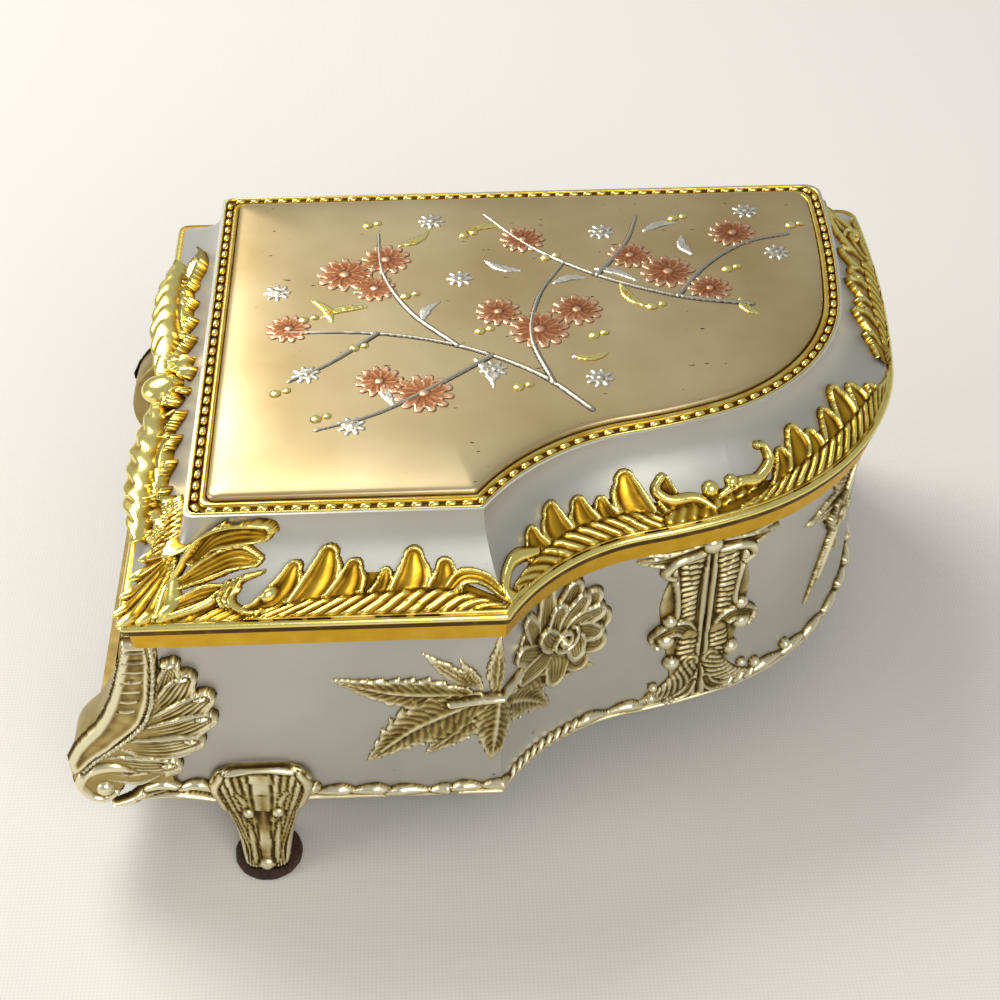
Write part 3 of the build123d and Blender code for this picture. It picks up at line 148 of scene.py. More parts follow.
def outline(offset, counts):
    """The plan grown outwards by offset, from the front left corner round to the same corner."""
    left, front = -offset, -offset
    right, back = SPINE_LENGTH + offset, CASE_DEPTH + offset
    r, t = CORNER_RADIUS, TAIL_CORNER_RADIUS
    nose = (FRONT_STRAIGHT + NOSE_SLIP * offset, front)
    waist = (WAIST[0] + offset * sin(WAIST_HEADING), WAIST[1] - offset * cos(WAIST_HEADING))
    belly = swing(waist, BELLY_RADIUS + offset, WAIST_HEADING, BELLY_HEADING)
    tail = swing(belly, TAIL_RADIUS + offset, BELLY_HEADING, TAIL_HEADING)
    corner = (right, back - t)
    leaving_nose = 2 * atan2(waist[1] - nose[1], waist[0] - nose[0]) - WAIST_HEADING
    return np.concatenate([
        line_run((left + r, front), nose, counts[0]),
        arc_run(nose, leaving_nose, waist, counts[1]),
        arc_run(waist, WAIST_HEADING, belly, counts[2]),
        arc_run(belly, BELLY_HEADING, tail, counts[3]),
        arc_run(tail, TAIL_HEADING, corner, counts[4]),
        arc_run(corner, pi / 2, (right - t, back), counts[5]),
        line_run((right - t, back), (left + r, back), counts[6]),
        arc_run((left + r, back), pi, (left, back - r), counts[7]),
        line_run((left, back - r), (left, front + r), counts[8]),
        arc_run((left, front + r), -pi / 2, (left + r, front), counts[9]),
    ])


def run_lengths(offset):
    """Length of each of the plan's ten runs."""
    fine = 40
    points = outline(offset, [fine] * 10)
    steps = np.hypot(*(np.roll(points, -1, 0) - points).T)
    return steps.reshape(10, fine).sum(1)


# The plan at many offsets, sampled once; plan_at() reads between the samples
SAMPLE = 0.1
OFFSET_STEP = 0.5
RING_STEP = 0.8
run_counts = np.round(run_lengths(CASE_OFFSET) / SAMPLE).astype(int)
PERIMETER = run_counts.sum() * SAMPLE
run_starts = np.concatenate([[0], np.cumsum(run_counts)]) * SAMPLE
TAIL_CORNER_U, SPINE_U, SPINE_END_U, SIDE_U, SIDE_END_U = run_starts[5:10]
offsets = np.arange(-16, 14.1, OFFSET_STEP)
plan_table = np.stack([outline(offset, run_counts) for offset in offsets])
ring_u = np.arange(0, PERIMETER, RING_STEP)


def plan_at(u, offset):
    """Plan points at a length u round the case wall, grown outwards by offset."""
    place = np.asarray(u, float) / SAMPLE % len(plan_table[0])
    level = np.clip((np.asarray(offset, float) - offsets[0]) / OFFSET_STEP, 0, len(offsets) - 1.001)
    place, level = np.broadcast_arrays(place, level)
    i, k = place.astype(int), level.astype(int)
    along, outwards = (place - i)[..., None], (level - k)[..., None]
    after = (i + 1) % len(plan_table[0])
    i = i % len(plan_table[0])
    inner = plan_table[k, i] * (1 - along) + plan_table[k, after] * along
    outer = plan_table[k + 1, i] * (1 - along) + plan_table[k + 1, after] * along
    return inner * (1 - outwards) + outer * outwards


def plan_ring(u, offset, z):
    """The plan grown outwards by offset, at level z."""
    return np.concatenate([plan_at(u, offset), np.full((len(u), 1), z)], 1)


def u_of_x(x):
    """The length u at which the front or the bent side passes x."""
    stop = run_counts[:4].sum()
    wall = outline(CASE_OFFSET, run_counts)[:stop, 0]
    return np.interp(x, wall, np.arange(stop) * SAMPLE)


# Surfaces that relief lies on: each turns u, v and a height over the surface into millimetres

shares = np.linspace(0, 1, 60)
cove_offsets = LID_LIP + (LID_FLARE - LID_LIP) * (1 - shares) ** COVE_POWER
cove_levels = RIM_TOP + shares * COVE_HEIGHT
cove_run = np.concatenate([[0], np.cumsum(np.hypot(np.diff(cove_offsets), np.diff(cove_levels)))])
slope = np.gradient(cove_offsets), np.gradient(cove_levels)
cove_normals = np.stack([slope[1], -slope[0]], 1) / np.hypot(*slope)[:, None]


def up(z):
    """The length up the lid's hollow wall at which it reaches level z."""
    return np.interp(z, cove_levels, cove_run)


def on_lid(u, v, h, swell=0.0):
    """Over the lid's hollow wall: u is the length round the case and v the length up the wall."""
    out = np.interp(v, cove_run, cove_offsets) + h * np.interp(v, cove_run, cove_normals[:, 0])
    z = np.interp(v, cove_run, cove_levels) + h * np.interp(v, cove_run, cove_normals[:, 1])
    return np.concatenate([plan_at(u, out + swell * np.maximum(h - SWELL_FROM, 0)), z[..., None]], -1)


def on_side(u, v, h):
    """As on_lid, with the high parts of the casting swelling out past the rim."""
    return on_lid(u, v, h, SIDE_SWELL)


def on_case(u, v, h):
    """Over the case wall: u is the length round it and v is Z."""
    return np.concatenate([plan_at(u, CASE_OFFSET + h), np.asarray(v + 0 * h)[..., None]], -1)


def on_front_cheek(u, v, h):
    """Over the front of the keyboard's front arm: u is X and v is Z."""
    return np.stack([u, -CASE_OFFSET - h, v], -1)


def on_back_cheek(u, v, h):
    """Over the back of the keyboard's back arm: u is X and v is Z."""
    return np.stack([u, CASE_DEPTH + CASE_OFFSET + h, v], -1)


def on_plaque(u, v, h):
    """On the crowned top of the plaque: u is X and v is Y."""
    edge_line = outline(0, run_counts // 20)
    inset = np.hypot(u[:, None] - edge_line[:, 0], v[:, None] - edge_line[:, 1]).min(1)
    return np.stack([u, v, np.interp(inset, PILLOW_INSETS, PILLOW_LEVELS) + INLAY * h], -1)


# Meshes


def mesh_piece(name, points, faces, finish, closed=False):
    """A mesh object made from points in plan millimetres; a closed form gets its faces turned outwards."""
    mesh = bpy.data.meshes.new(name)
    mesh.from_pydata(to_row(points).tolist(), [], [tuple(face) for face in faces])
    mesh.polygons.foreach_set("use_smooth", [len(face) < 5 for face in faces])
    if closed:
        form = bmesh.new()
        form.from_mesh(mesh)
        bmesh.ops.recalc_face_normals(form, faces=form.faces)
        form.to_mesh(mesh)
        form.free()
    mesh.materials.append(finish)
    piece = bpy.data.objects.new(name, mesh)
    bpy.context.scene.collection.objects.link(piece)
    return piece


def settle(piece, body, slot, *nodes):
    """The piece rides on a body and stands for CAD nodes; slot is not used."""
    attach(piece, body)
    if nodes:
        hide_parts(*nodes)
    return piece


def grid_faces(rows, columns, tube=False):
    """Quads of a grid of points whose last row joins the first; a tube joins its last column too."""
    index = np.arange(rows * columns).reshape(rows, columns)
    index = np.concatenate([index, index[:1]])
    if tube:
        index = np.concatenate([index, index[:, :1]], 1)
    return np.stack([index[:-1, :-1], index[1:, :-1], index[1:, 1:], index[:-1, 1:]], -1).reshape(-1, 4)


def moulding(profile):
    """Points and faces of a moulding round the plan, from its offsets and levels."""
    points = np.stack([plan_ring(ring_u, offset, z) for offset, z in profile], 1)
    return points.reshape(-1, 3), grid_faces(len(ring_u), len(profile))


def ring_form(name, rings, finish):
    """A closed form through rings of points, with its first and last rings filled in."""
    points = np.stack(rings, 1)
    count, rows = points.shape[:2]
    faces = [tuple(face) for face in grid_faces(count, rows)]
    faces.append(tuple(i * rows for i in range(count)))
    faces.append(tuple(i * rows + rows - 1 for i in reversed(range(count))))
    return mesh_piece(name, points.reshape(-1, 3), faces, finish, closed=True)


def soften(heights, times):
    """Heights averaged with their neighbours a number of times."""
    for _ in range(times):
        padded = np.pad(heights, 1, mode="edge")
        heights = (padded[:-2, 1:-1] + padded[2:, 1:-1] + padded[1:-1, :-2] + padded[1:-1, 2:]
                   + 4 * padded[1:-1, 1:-1]) / 8
    return heights


def smooth_line(points, step=0.25):
    """A Catmull-Rom line through the points, sampled every step."""
    p = np.array(points, float)
    p = np.concatenate([[2 * p[0] - p[1]], p, [2 * p[-1] - p[-2]]])
    out = []
    for a, b, c, d in zip(p[:-3], p[1:-2], p[2:-1], p[3:]):
        count = max(2, int(np.hypot(*(c - b)[:2]) / step))
        t = np.arange(count)[:, None] / count
        out.append(0.5 * (2 * b + (c - a) * t + (2 * a - 5 * b + 4 * c - d) * t ** 2
                          + (3 * b - a - 3 * c + d) * t ** 3))
    out.append(p[-2:-1])
    return np.concatenate(out)


# Forms of carved strokes. across runs from -1 to 1 over the stroke, share from 0 to 1 along it,
# and run is the length along it; each gives the height over the wall.


def spread(values, share):
    """Values spaced evenly from end to end, read at a share of the length."""
    return np.interp(share, np.linspace(0, 1, len(values)), values)


def dome_over(r):
    """The height of a round section, a little above 0 at its edge."""
    return np.sqrt(np.clip(1 - r * r, 0.03, 1))


def rolled(*rises):
    """A round bar."""
    def form(across, share, run):
        return spread(rises, share) * dome_over(across)
    return form


def cupped(*rises, floor=0.5, veins=1.5, vein=0.1):
    """A hollow lobe with veins inside a thin bright lip."""
    def form(across, share, run):
        lip = np.exp(-((np.abs(across) - 0.85) / 0.19) ** 2)
        lines = vein * np.cos(2 * pi * veins * across)
        return spread(rises, share) * (floor + lines + (0.96 - floor) * lip)
    return form


def ribbed(*rises, pitch=1.15, lean=0.9, depth=0.42):
    """A band of slanted strokes."""
    def form(across, share, run):
        wave = 0.5 - 0.5 * np.cos(2 * pi * (run - lean * across) / pitch)
        return spread(rises, share) * (1 - depth * wave) * np.clip(1 - across ** 4, 0.15, 1) ** 0.5
    return form


def veined(*rises, pitch=1.0, lean=2.4, depth=0.18):
    """A leaf with a midrib and veins that slant out to a raised edge."""
    def form(across, share, run):
        r = np.abs(across)
        wave = 0.5 - 0.5 * np.cos(2 * pi * (run - lean * r) / pitch)
        midrib = np.exp(-(r / 0.12) ** 2)
        return spread(rises, share) * (0.6 + 0.22 * r ** 2 + 0.3 * midrib - depth * wave * (1 - midrib))
    return form


def flat(*rises):
    """A low ground with rounded edges."""
    def form(across, share, run):
        return spread(rises, share) * np.clip(1 - across ** 6, 0.1, 1) ** 0.5
    return form


class Carving:
    """Heights of carved ornament over a strip of wall, u along it and v up it."""

    def __init__(self, u_range, v_range, cell=CELL):
        self.us = np.arange(u_range[0], u_range[1] + cell, cell)
        self.vs = np.arange(v_range[0], v_range[1] + cell, cell)
        self.h = np.full((len(self.us), len(self.vs)), -SINK)

    def window(self, low, high):
        """Slices and coordinates of the cells between two corners."""
        i0, i1 = np.searchsorted(self.us, [low[0], high[0]])
        j0, j1 = np.searchsorted(self.vs, [low[1], high[1]])
        u, v = np.meshgrid(self.us[i0:i1], self.vs[j0:j1], indexing="ij")
        return (slice(i0, i1), slice(j0, j1)), u, v

    def lay_on(self, cells, gap, heights):
        """Lays a form over what is there; gap is below 0 inside it, and it has steep sides."""
        self.h[cells] = np.where(gap < 0, heights, np.maximum(self.h[cells],
                                                              np.maximum(-SINK, -SIDE_FALL * gap)))

    def stroke(self, points, widths, form, teeth=None):
        """Lays a form along a smooth line; widths are half widths from end to end."""
        line = smooth_line(points)
        reach = max(widths) + 3 * CELL
        cells, u, v = self.window(line.min(0) - reach, line.max(0) + reach)
        if not u.size:
            return
        du, dv = u[..., None] - line[:, 0], v[..., None] - line[:, 1]
        away = np.hypot(du, dv)
        nearest = away.argmin(-1)
        gap = away.min(-1)
        slope_u, slope_v = np.gradient(line, axis=0).T
        du, dv = u - line[nearest, 0], v - line[nearest, 1]
        side = np.where(slope_u[nearest] * dv - slope_v[nearest] * du > 0, 1, -1)
        share = nearest / (len(line) - 1)
        width = np.maximum(spread(widths, share), 0.06)
        if teeth:
            count, depth = teeth
            width = width * (1 - depth * (share * count % 1))
        lengths = np.concatenate([[0], np.cumsum(np.hypot(*np.diff(line, axis=0).T))])
        across = side * np.minimum(gap / width, 1)
        self.lay_on(cells, gap - width, form(across, share, lengths[nearest]))

    def boss(self, centre, radius, rise):
        """A round boss."""
        cells, u, v = self.window(np.array(centre) - radius - 0.8, np.array(centre) + radius + 0.8)
        gap = np.hypot(u - centre[0], v - centre[1])
        self.lay_on(cells, gap - radius, rise * (0.35 + 0.65 * dome_over(gap / radius)))

    def fill(self, corners, form):
        """Lays a form inside a closed outline; the form gets the depth from its edge and the place."""
        loop = np.array(corners + corners[:1], float)
        edge_line = np.concatenate([line_run(a, b, max(2, int(hypot(*(b - a)) / 0.3)))
                                    for a, b in zip(loop[:-1], loop[1:])])
        cells, u, v = self.window(loop.min(0) - 1, loop.max(0) + 1)
        gap = np.hypot(u[..., None] - edge_line[:, 0], v[..., None] - edge_line[:, 1]).min(-1)
        inside = np.zeros(u.shape, bool)
        for a, b in zip(loop[:-1], loop[1:]):
            crosses = (a[1] > v) != (b[1] > v)
            inside ^= crosses & (u < a[0] + (b[0] - a[0]) * (v - a[1]) / (b[1] - a[1] or 1))
        self.lay_on(cells, np.where(inside, -gap, gap), form(gap, u, v))

    def volute(self, centre, radius, turns, start, way, width, rise):
        """A scroll that winds in to its eye."""
        share = np.linspace(0, 1, int(10 * turns) + 2)
        angle = start + way * 2 * pi * turns * share
        reach = radius * (1 - 0.86 * share)
        points = np.stack([centre[0] + reach * np.cos(angle), centre[1] + reach * np.sin(angle)], 1)
        self.stroke(points, (width, width * 0.6), rolled(rise, rise * 1.2))
        self.boss(centre, width * 0.9, rise * 1.35)

    def fan(self, apex, reach, start, end, flutes, rise):
        """A shell of flutes that spread from an apex to a scalloped edge."""
        cells, u, v = self.window(np.array(apex) - reach - 1, np.array(apex) + reach + 1)
        gap = np.hypot(u - apex[0], v - apex[1])
        turn = (np.arctan2(v - apex[1], u - apex[0]) - start) / (end - start)
        wave = np.abs(np.sin(pi * flutes * turn))
        rim = reach * (0.84 + 0.16 * wave ** 0.7)
        lip = np.exp(-((gap / rim - 0.92) / 0.06) ** 2)
        body = rise * (0.5 + 0.3 * gap / reach) * (0.5 + 0.5 * wave) + 0.35 * rise * lip * wave
        outside = np.where((turn > 0) & (turn < 1), gap - rim, 9)
        self.lay_on(cells, outside, body)

    def height_at(self, u, v):
        """The height at a place, 0 where nothing is carved."""
        i = np.clip(np.round((u - self.us[0]) / (self.us[1] - self.us[0])).astype(int), 0, len(self.us) - 1)
        j = np.clip(np.round((v - self.vs[0]) / (self.vs[1] - self.vs[0])).astype(int), 0, len(self.vs) - 1)
        return np.maximum(self.h[i, j], 0)

    def ridges(self):
        """How raised each place is: 0 in a hollow and 1 on a ridge."""
        h = np.maximum(self.h, -SINK)
        return np.clip(0.5 + (h - soften(h, RIDGE_AVERAGING)) * RIDGE_GAIN + RIDGE_LIFT * (h - RIDGE_LEVEL),
                       0, 1)

    def piece(self, name, surface, finish, body, slot, *nodes):
        """The mesh of what stands above the wall, with its hollows and ridges as an attribute."""
        keep = self.h > -SINK * 0.9
        cells = keep[:-1, :-1] | keep[1:, :-1] | keep[:-1, 1:] | keep[1:, 1:]
        index = np.arange(self.h.size).reshape(self.h.shape)
        quads = np.stack([index[:-1, :-1], index[1:, :-1], index[1:, 1:], index[:-1, 1:]], -1)[cells]
        used, faces = np.unique(quads, return_inverse=True)
        u, v = np.meshgrid(self.us, self.vs, indexing="ij")
        h = np.maximum(self.h, -SINK)
        points = surface(u.ravel()[used], v.ravel()[used], h.ravel()[used])
        piece = mesh_piece(name, points, faces.reshape(-1, 4), finish)
        mark(piece, self.ridges().ravel()[used])
        return settle(piece, body, slot, *nodes)


def mark(piece, values):
    """Stores how raised each point is: 0 in a hollow and 1 on a ridge; the gilt paints shade and highlight
    from it.
    """
    carve = piece.data.attributes.new("carve", "FLOAT", "POINT")
    carve.data.foreach_set("value", np.asarray(values, np.float32))


# Materials


def linear(text, alpha=1.0):
    """An sRGB hex colour as linear RGBA."""
    values = [int(text[i:i + 2], 16) / 255 for i in (1, 3, 5)]
    return (*[v / 12.92 if v <= 0.04045 else ((v + 0.055) / 1.055) ** 2.4 for v in values], alpha)


def add(tree, kind, inputs=None, stops=None, **settings):
    """Adds a shader node with its settings, its input values or links, and its colour stops."""
    node = tree.nodes.new("ShaderNode" + kind)
    for key, value in settings.items():
        setattr(node, key, value)
    for key, value in (inputs or {}).items():
        if isinstance(value, bpy.types.NodeSocket):
            tree.links.new(value, node.inputs[key])
        else:
            node.inputs[key].default_value = value
    for place, (position, color) in enumerate(stops or ()):
        band = node.color_ramp.elements
        stop = band[place] if place < 2 else band.new(position)
        stop.position = position
        stop.color = linear(color)
    return node


def start_material(name, **inputs):
    """A material's tree and shader, with values on the shader's own sockets."""
    material = bpy.data.materials.new(name)
    material.use_nodes = True
    shader = material.node_tree.nodes["Principled BSDF"]
    for key, value in inputs.items():
        shader.inputs[key.replace("_", " ")].default_value = value
    return material, material.node_tree, shader


def bumped(tree, shader, height, strength, depth):
    """Gives a shader relief from a height, with depth in millimetres."""
    bump = add(tree, "Bump", {"Height": height, "Strength": strength, "Distance": depth / 1000})
    tree.links.new(bump.outputs["Normal"], shader.inputs["Normal"])


def per_metre(size_mm):
    """Noise scale for features of a size in millimetres."""
    return 1000 / size_mm


def make_silver():
    """Zinc casting, silvered and lacquered: satin grey with a faint cloud and rare dull specks."""
    material, tree, shader = start_material("silvered_zinc", Metallic=0.65, Roughness=0.42)
    place = add(tree, "TexCoord").outputs["Object"]
    cloud = add(tree, "TexNoise", {"Vector": place, "Scale": per_metre(26), "Detail": 3.0})
    tone = add(tree, "ValToRGB", {"Fac": cloud.outputs["Fac"]}, stops=((0.35, "#B4B2A9"), (0.7, "#C0BEB4")))
    specks = add(tree, "TexNoise", {"Vector": place, "Scale": per_metre(2.2), "Detail": 1.0})
    rare = add(tree, "ValToRGB", {"Fac": specks.outputs["Fac"]}, stops=((0.79, "#000000"), (0.82, "#FFFFFF")))
    mixed = add(tree, "Mix", data_type="RGBA")
    tree.links.new(rare.outputs["Color"], mixed.inputs[0])
    tree.links.new(tone.outputs["Color"], mixed.inputs[6])
    mixed.inputs[7].default_value = linear("#8C877C")
    tree.links.new(mixed.outputs[2], shader.inputs["Base Color"])
    grain = add(tree, "TexNoise", {"Vector": place, "Scale": per_metre(0.35), "Detail": 4.0})
    bumped(tree, shader, grain.outputs["Fac"], 0.2, 0.015)
    return material


def make_gilt(name, stops, roughness, level=None, patina=0.1, cast_mm=0.5):
    """Gilt casting: a painted highlight on the ridges and painted shade over brown patina in the hollows, or
    one level all over.
    """
    material, tree, shader = start_material(name, Metallic=1.0, Roughness=roughness)
    place = add(tree, "TexCoord").outputs["Object"]
    cast = add(tree, "TexNoise", {"Vector": place, "Scale": per_metre(cast_mm), "Detail": 3.0})
    stain = add(tree, "TexNoise", {"Vector": place, "Scale": per_metre(3.0), "Detail": 4.0})
    ridge = add(tree, "Attribute", attribute_name="carve").outputs["Fac"] if level is None else level
    worn = add(tree, "MapRange", {"Value": stain.outputs["Fac"], "From Min": 0.3, "From Max": 0.7,
                                  "To Min": -patina, "To Max": patina})
    mixed = add(tree, "Math", {0: worn.outputs["Result"], 1: ridge}, operation="ADD")
    # Ramp from painted shade over patina in the hollows to a painted highlight on the ridges
    tone = add(tree, "ValToRGB", {"Fac": mixed.outputs["Value"]}, stops=stops)
    tree.links.new(tone.outputs["Color"], shader.inputs["Base Color"])
    dull = add(tree, "MapRange", {"Value": mixed.outputs["Value"], "From Min": 0.2, "From Max": 0.8,
                                  "To Min": roughness + 0.2, "To Max": roughness - 0.04})
    tree.links.new(dull.outputs["Result"], shader.inputs["Roughness"])
    bumped(tree, shader, cast.outputs["Fac"], 0.35, 0.04)
    return material


def make_champagne():
    """Brushed champagne plate: a soft warm satin, a little worn, with short dark nicks here and there."""
    material, tree, shader = start_material("brushed_champagne_plate", Metallic=0.85, Roughness=0.34)
    place = add(tree, "TexCoord").outputs["Object"]
    cloud = add(tree, "TexNoise", {"Vector": place, "Scale": per_metre(34), "Detail": 4.0})
    tone = add(tree, "ValToRGB", {"Fac": cloud.outputs["Fac"]}, stops=((0.34, "#B49C6A"), (0.68, "#CFBC90")))
    stretched = add(tree, "Mapping", {"Vector": place, "Scale": (1.0, 2.6, 1.0)})
    nicks = add(tree, "TexNoise", {"Vector": stretched.outputs["Vector"], "Scale": per_metre(2.6),
                                   "Detail": 2.0})
    rare = add(tree, "ValToRGB", {"Fac": nicks.outputs["Fac"]}, stops=((0.735, "#000000"), (0.75, "#FFFFFF")))
    mixed = add(tree, "Mix", data_type="RGBA")
    tree.links.new(rare.outputs["Color"], mixed.inputs[0])
    tree.links.new(tone.outputs["Color"], mixed.inputs[6])
    mixed.inputs[7].default_value = linear("#4A3B26")
    tree.links.new(mixed.outputs[2], shader.inputs["Base Color"])
    brushed = add(tree, "Mapping", {"Vector": place, "Scale": (1.0, 9.0, 1.0)})
    grain = add(tree, "TexNoise", {"Vector": brushed.outputs["Vector"], "Scale": per_metre(1.6),
                                   "Detail": 4.0})
    bumped(tree, shader, grain.outputs["Fac"], 0.3, 0.02)
    return material


def make_plain_metal(name, color, roughness, grain_mm=0.4, depth=0.01):
    """A machined, drawn or stamped metal with a fine tooth."""
    material, tree, shader = start_material(name, Metallic=1.0, Roughness=roughness,
                                            Base_Color=linear(color))
    place = add(tree, "TexCoord").outputs["Object"]
    grain = add(tree, "TexNoise", {"Vector": place, "Scale": per_metre(grain_mm), "Detail": 3.0})
    bumped(tree, shader, grain.outputs["Fac"], 0.3, depth)
    return material


def make_pile(name, dark, light, pile_mm):
    """Short cloth pile: matte and soft edged, with a fine mottled tone and broad paler patches painted in as
    the sheen of pile that leans to the light.

    The pile is drawn coarser than real pile so that it shows.
    """
    material, tree, shader = start_material(name, Roughness=0.95, Sheen_Weight=0.6, Sheen_Roughness=0.35,
                                            Sheen_Tint=linear(light))
    place = add(tree, "TexCoord").outputs["Object"]
    pile = add(tree, "TexNoise", {"Vector": place, "Scale": per_metre(pile_mm), "Detail": 5.0})
    brushed = add(tree, "TexNoise", {"Vector": place, "Scale": per_metre(14.0), "Detail": 2.0})
    # Broad patches of painted sheen, where the pile would lean to the light, over the fine tone of the pile
    pile_tone_and_painted_sheen = add(tree, "Math", {0: pile.outputs["Fac"], 1: brushed.outputs["Fac"]}, operation="MULTIPLY")
    tone = add(tree, "ValToRGB", {"Fac": pile_tone_and_painted_sheen.outputs["Value"]}, stops=((0.14, dark), (0.4, light)))
    tree.links.new(tone.outputs["Color"], shader.inputs["Base Color"])
    bumped(tree, shader, pile.outputs["Fac"], 0.6, 0.2)
    return material


def make_clear_plastic():
    """Moulded clear polystyrene: see-through, with soft moulding ripples."""
    material, tree, shader = start_material("clear_polystyrene", Roughness=0.06, IOR=1.59,
                                            Transmission_Weight=1.0, Base_Color=linear("#F4F6F4"))
    ripple = add(tree, "TexNoise", {"Vector": add(tree, "TexCoord").outputs["Object"],
                                    "Scale": per_metre(18)})
    bumped(tree, shader, ripple.outputs["Fac"], 0.2, 0.1)
    return material


def make_board():
    """Grey board faced with paper: matte and a little fibrous."""
    material, tree, shader = start_material("paper_faced_board", Roughness=0.85)
    fibres = add(tree, "TexNoise", {"Vector": add(tree, "TexCoord").outputs["Object"],
                                    "Scale": per_metre(1.2), "Detail": 5.0})
    tone = add(tree, "ValToRGB", {"Fac": fibres.outputs["Fac"]}, stops=((0.3, "#6E655A"), (0.7, "#8D8376")))
    tree.links.new(tone.outputs["Color"], shader.inputs["Base Color"])
    bumped(tree, shader, fibres.outputs["Fac"], 0.4, 0.05)
    return material


# Gilt tones from the hollows to the ridges: the dark ends are painted shade over brown patina, the pale ends
# a painted highlight
LID_GOLD = ((0.2, "#5E4210"), (0.42, "#A67C1E"), (0.6, "#D6A931"), (0.82, "#F8E88A"))
CASE_GOLD = ((0.2, "#4F3D1E"), (0.42, "#84703F"), (0.6, "#B8A468"), (0.84, "#EDE4C0"))

silver = make_silver()
# Bright yellow gilding on the lid, with a painted highlight on the ridges and painted shade over brown patina
# in the hollows
lid_gilt = make_gilt("bright_gilt_cast", LID_GOLD, 0.25)
# The ledge takes one fairly light level of the lid tones all over: painted light that lifts a sideways-facing
# band out of its shade
ledge_gilt_painted_light = make_gilt("bright_gilt_ledge", LID_GOLD, 0.32, level=0.6, patina=0.03)
# Paler, greyer gilding on the case, with a soft painted highlight as well as wear on the ridges; the plain
# and key pieces take one level of its tones all over, the keys a darker one
case_gilt = make_gilt("antique_gilt_cast", CASE_GOLD, 0.32)
case_gilt_plain = make_gilt("antique_gilt_plain", CASE_GOLD, 0.36, level=0.56, patina=0.05)
key_gilt = make_gilt("antique_gilt_keys", CASE_GOLD, 0.42, level=0.42, patina=0.05)
champagne = make_champagne()
# Plated inlay on the plaque: brown-pink copper, clear yellow gilt, pale silver and darkened silver, each with
# painted shade in its hollows and a painted highlight on its ridges
inlay_copper = make_gilt("copper_plated_inlay", ((0.2, "#582E18"), (0.5, "#9C6440"), (0.62, "#B27850"),
                                                 (0.84, "#E2B892")), 0.38)
inlay_gold = make_gilt("gilt_inlay", ((0.2, "#7A5A12"), (0.5, "#BD9320"), (0.62, "#D8B23C"),
                                      (0.84, "#F8EC9A")), 0.28)
inlay_silver = make_gilt("silvered_inlay", ((0.2, "#5E5747"), (0.5, "#A39A83"), (0.62, "#C2BBA6"),
                                            (0.84, "#EDE8D8")), 0.34)
inlay_stem = make_gilt("oxidised_silver_inlay", ((0.2, "#2E2A24"), (0.5, "#5C564A"), (0.62, "#7C7565"),
                                                 (0.84, "#B8B09C")), 0.4)
# The works: warm turned brass, cool ground steel and dull grey die casting
brass = make_plain_metal("turned_brass", "#C9A45A", 0.28)
steel = make_plain_metal("ground_steel", "#A9AAAC", 0.3)
cast_zinc = make_plain_metal("die_cast_zinc", "#9C9C9A", 0.48, 0.6, 0.03)
# Cloth: deep crimson velvet with a soft bloom, and coarse brown felt
velvet = make_pile("crimson_velvet", "#5C0A15", "#8C1626", 0.5)
felt = make_pile("brown_felt", "#2A1B14", "#553B2C", 0.7)
clear_plastic = make_clear_plastic()
board = make_board()


def cast_on_lid(carving, name, node, surface=on_lid):
    """Gilt casting on the lid, which stands for a CAD node."""
    return carving.piece(name, surface, lid_gilt, "lid", "bright_gilt", node)


def cast_on_case(carving, name, node, surface=on_case):
    """Gilt casting on the case, which stands for a CAD node."""
    return carving.piece(name, surface, case_gilt, "case", "antique_gilt", node)


# Leaves of the lid


def lid_strip(first, last):
    """A height field over the lid's hollow wall between two lengths round the case."""
    return Carving((first, last), (-0.4, cove_run[-1] - 0.6))


def lid_lobe(strip, u, level, width, way=1, rise=1.1):
    """A hollow leaf lobe that leaves the rim at a low angle and ends in a blunt tip at a level."""
    v = up(level)
    path = [(u - way * 7.0, 0.5), (u - way * 3.4, 1.7), (u - way * 0.9, 0.56 * v), (u - way * 0.5, v - 0.9)]
    swell = np.array((0.3, 0.75, 0.95, 1.1, 1.2, 1.26, 1.22, 1.08, 0.7)) * width
    strip.stroke(path, swell, cupped(0.8 * rise, rise, 1.15 * rise, 1.25 * rise, floor=0.46, veins=1.0,
                                     vein=0.05))


def lid_body(strip, points, widths, way=1):
    """The ribbed swelling that the lobes leave, along the rim."""
    strip.stroke(points, widths, ribbed(0.9, 1.2, 1.2, 0.8, pitch=2.5, lean=2.8 * way, depth=0.48))


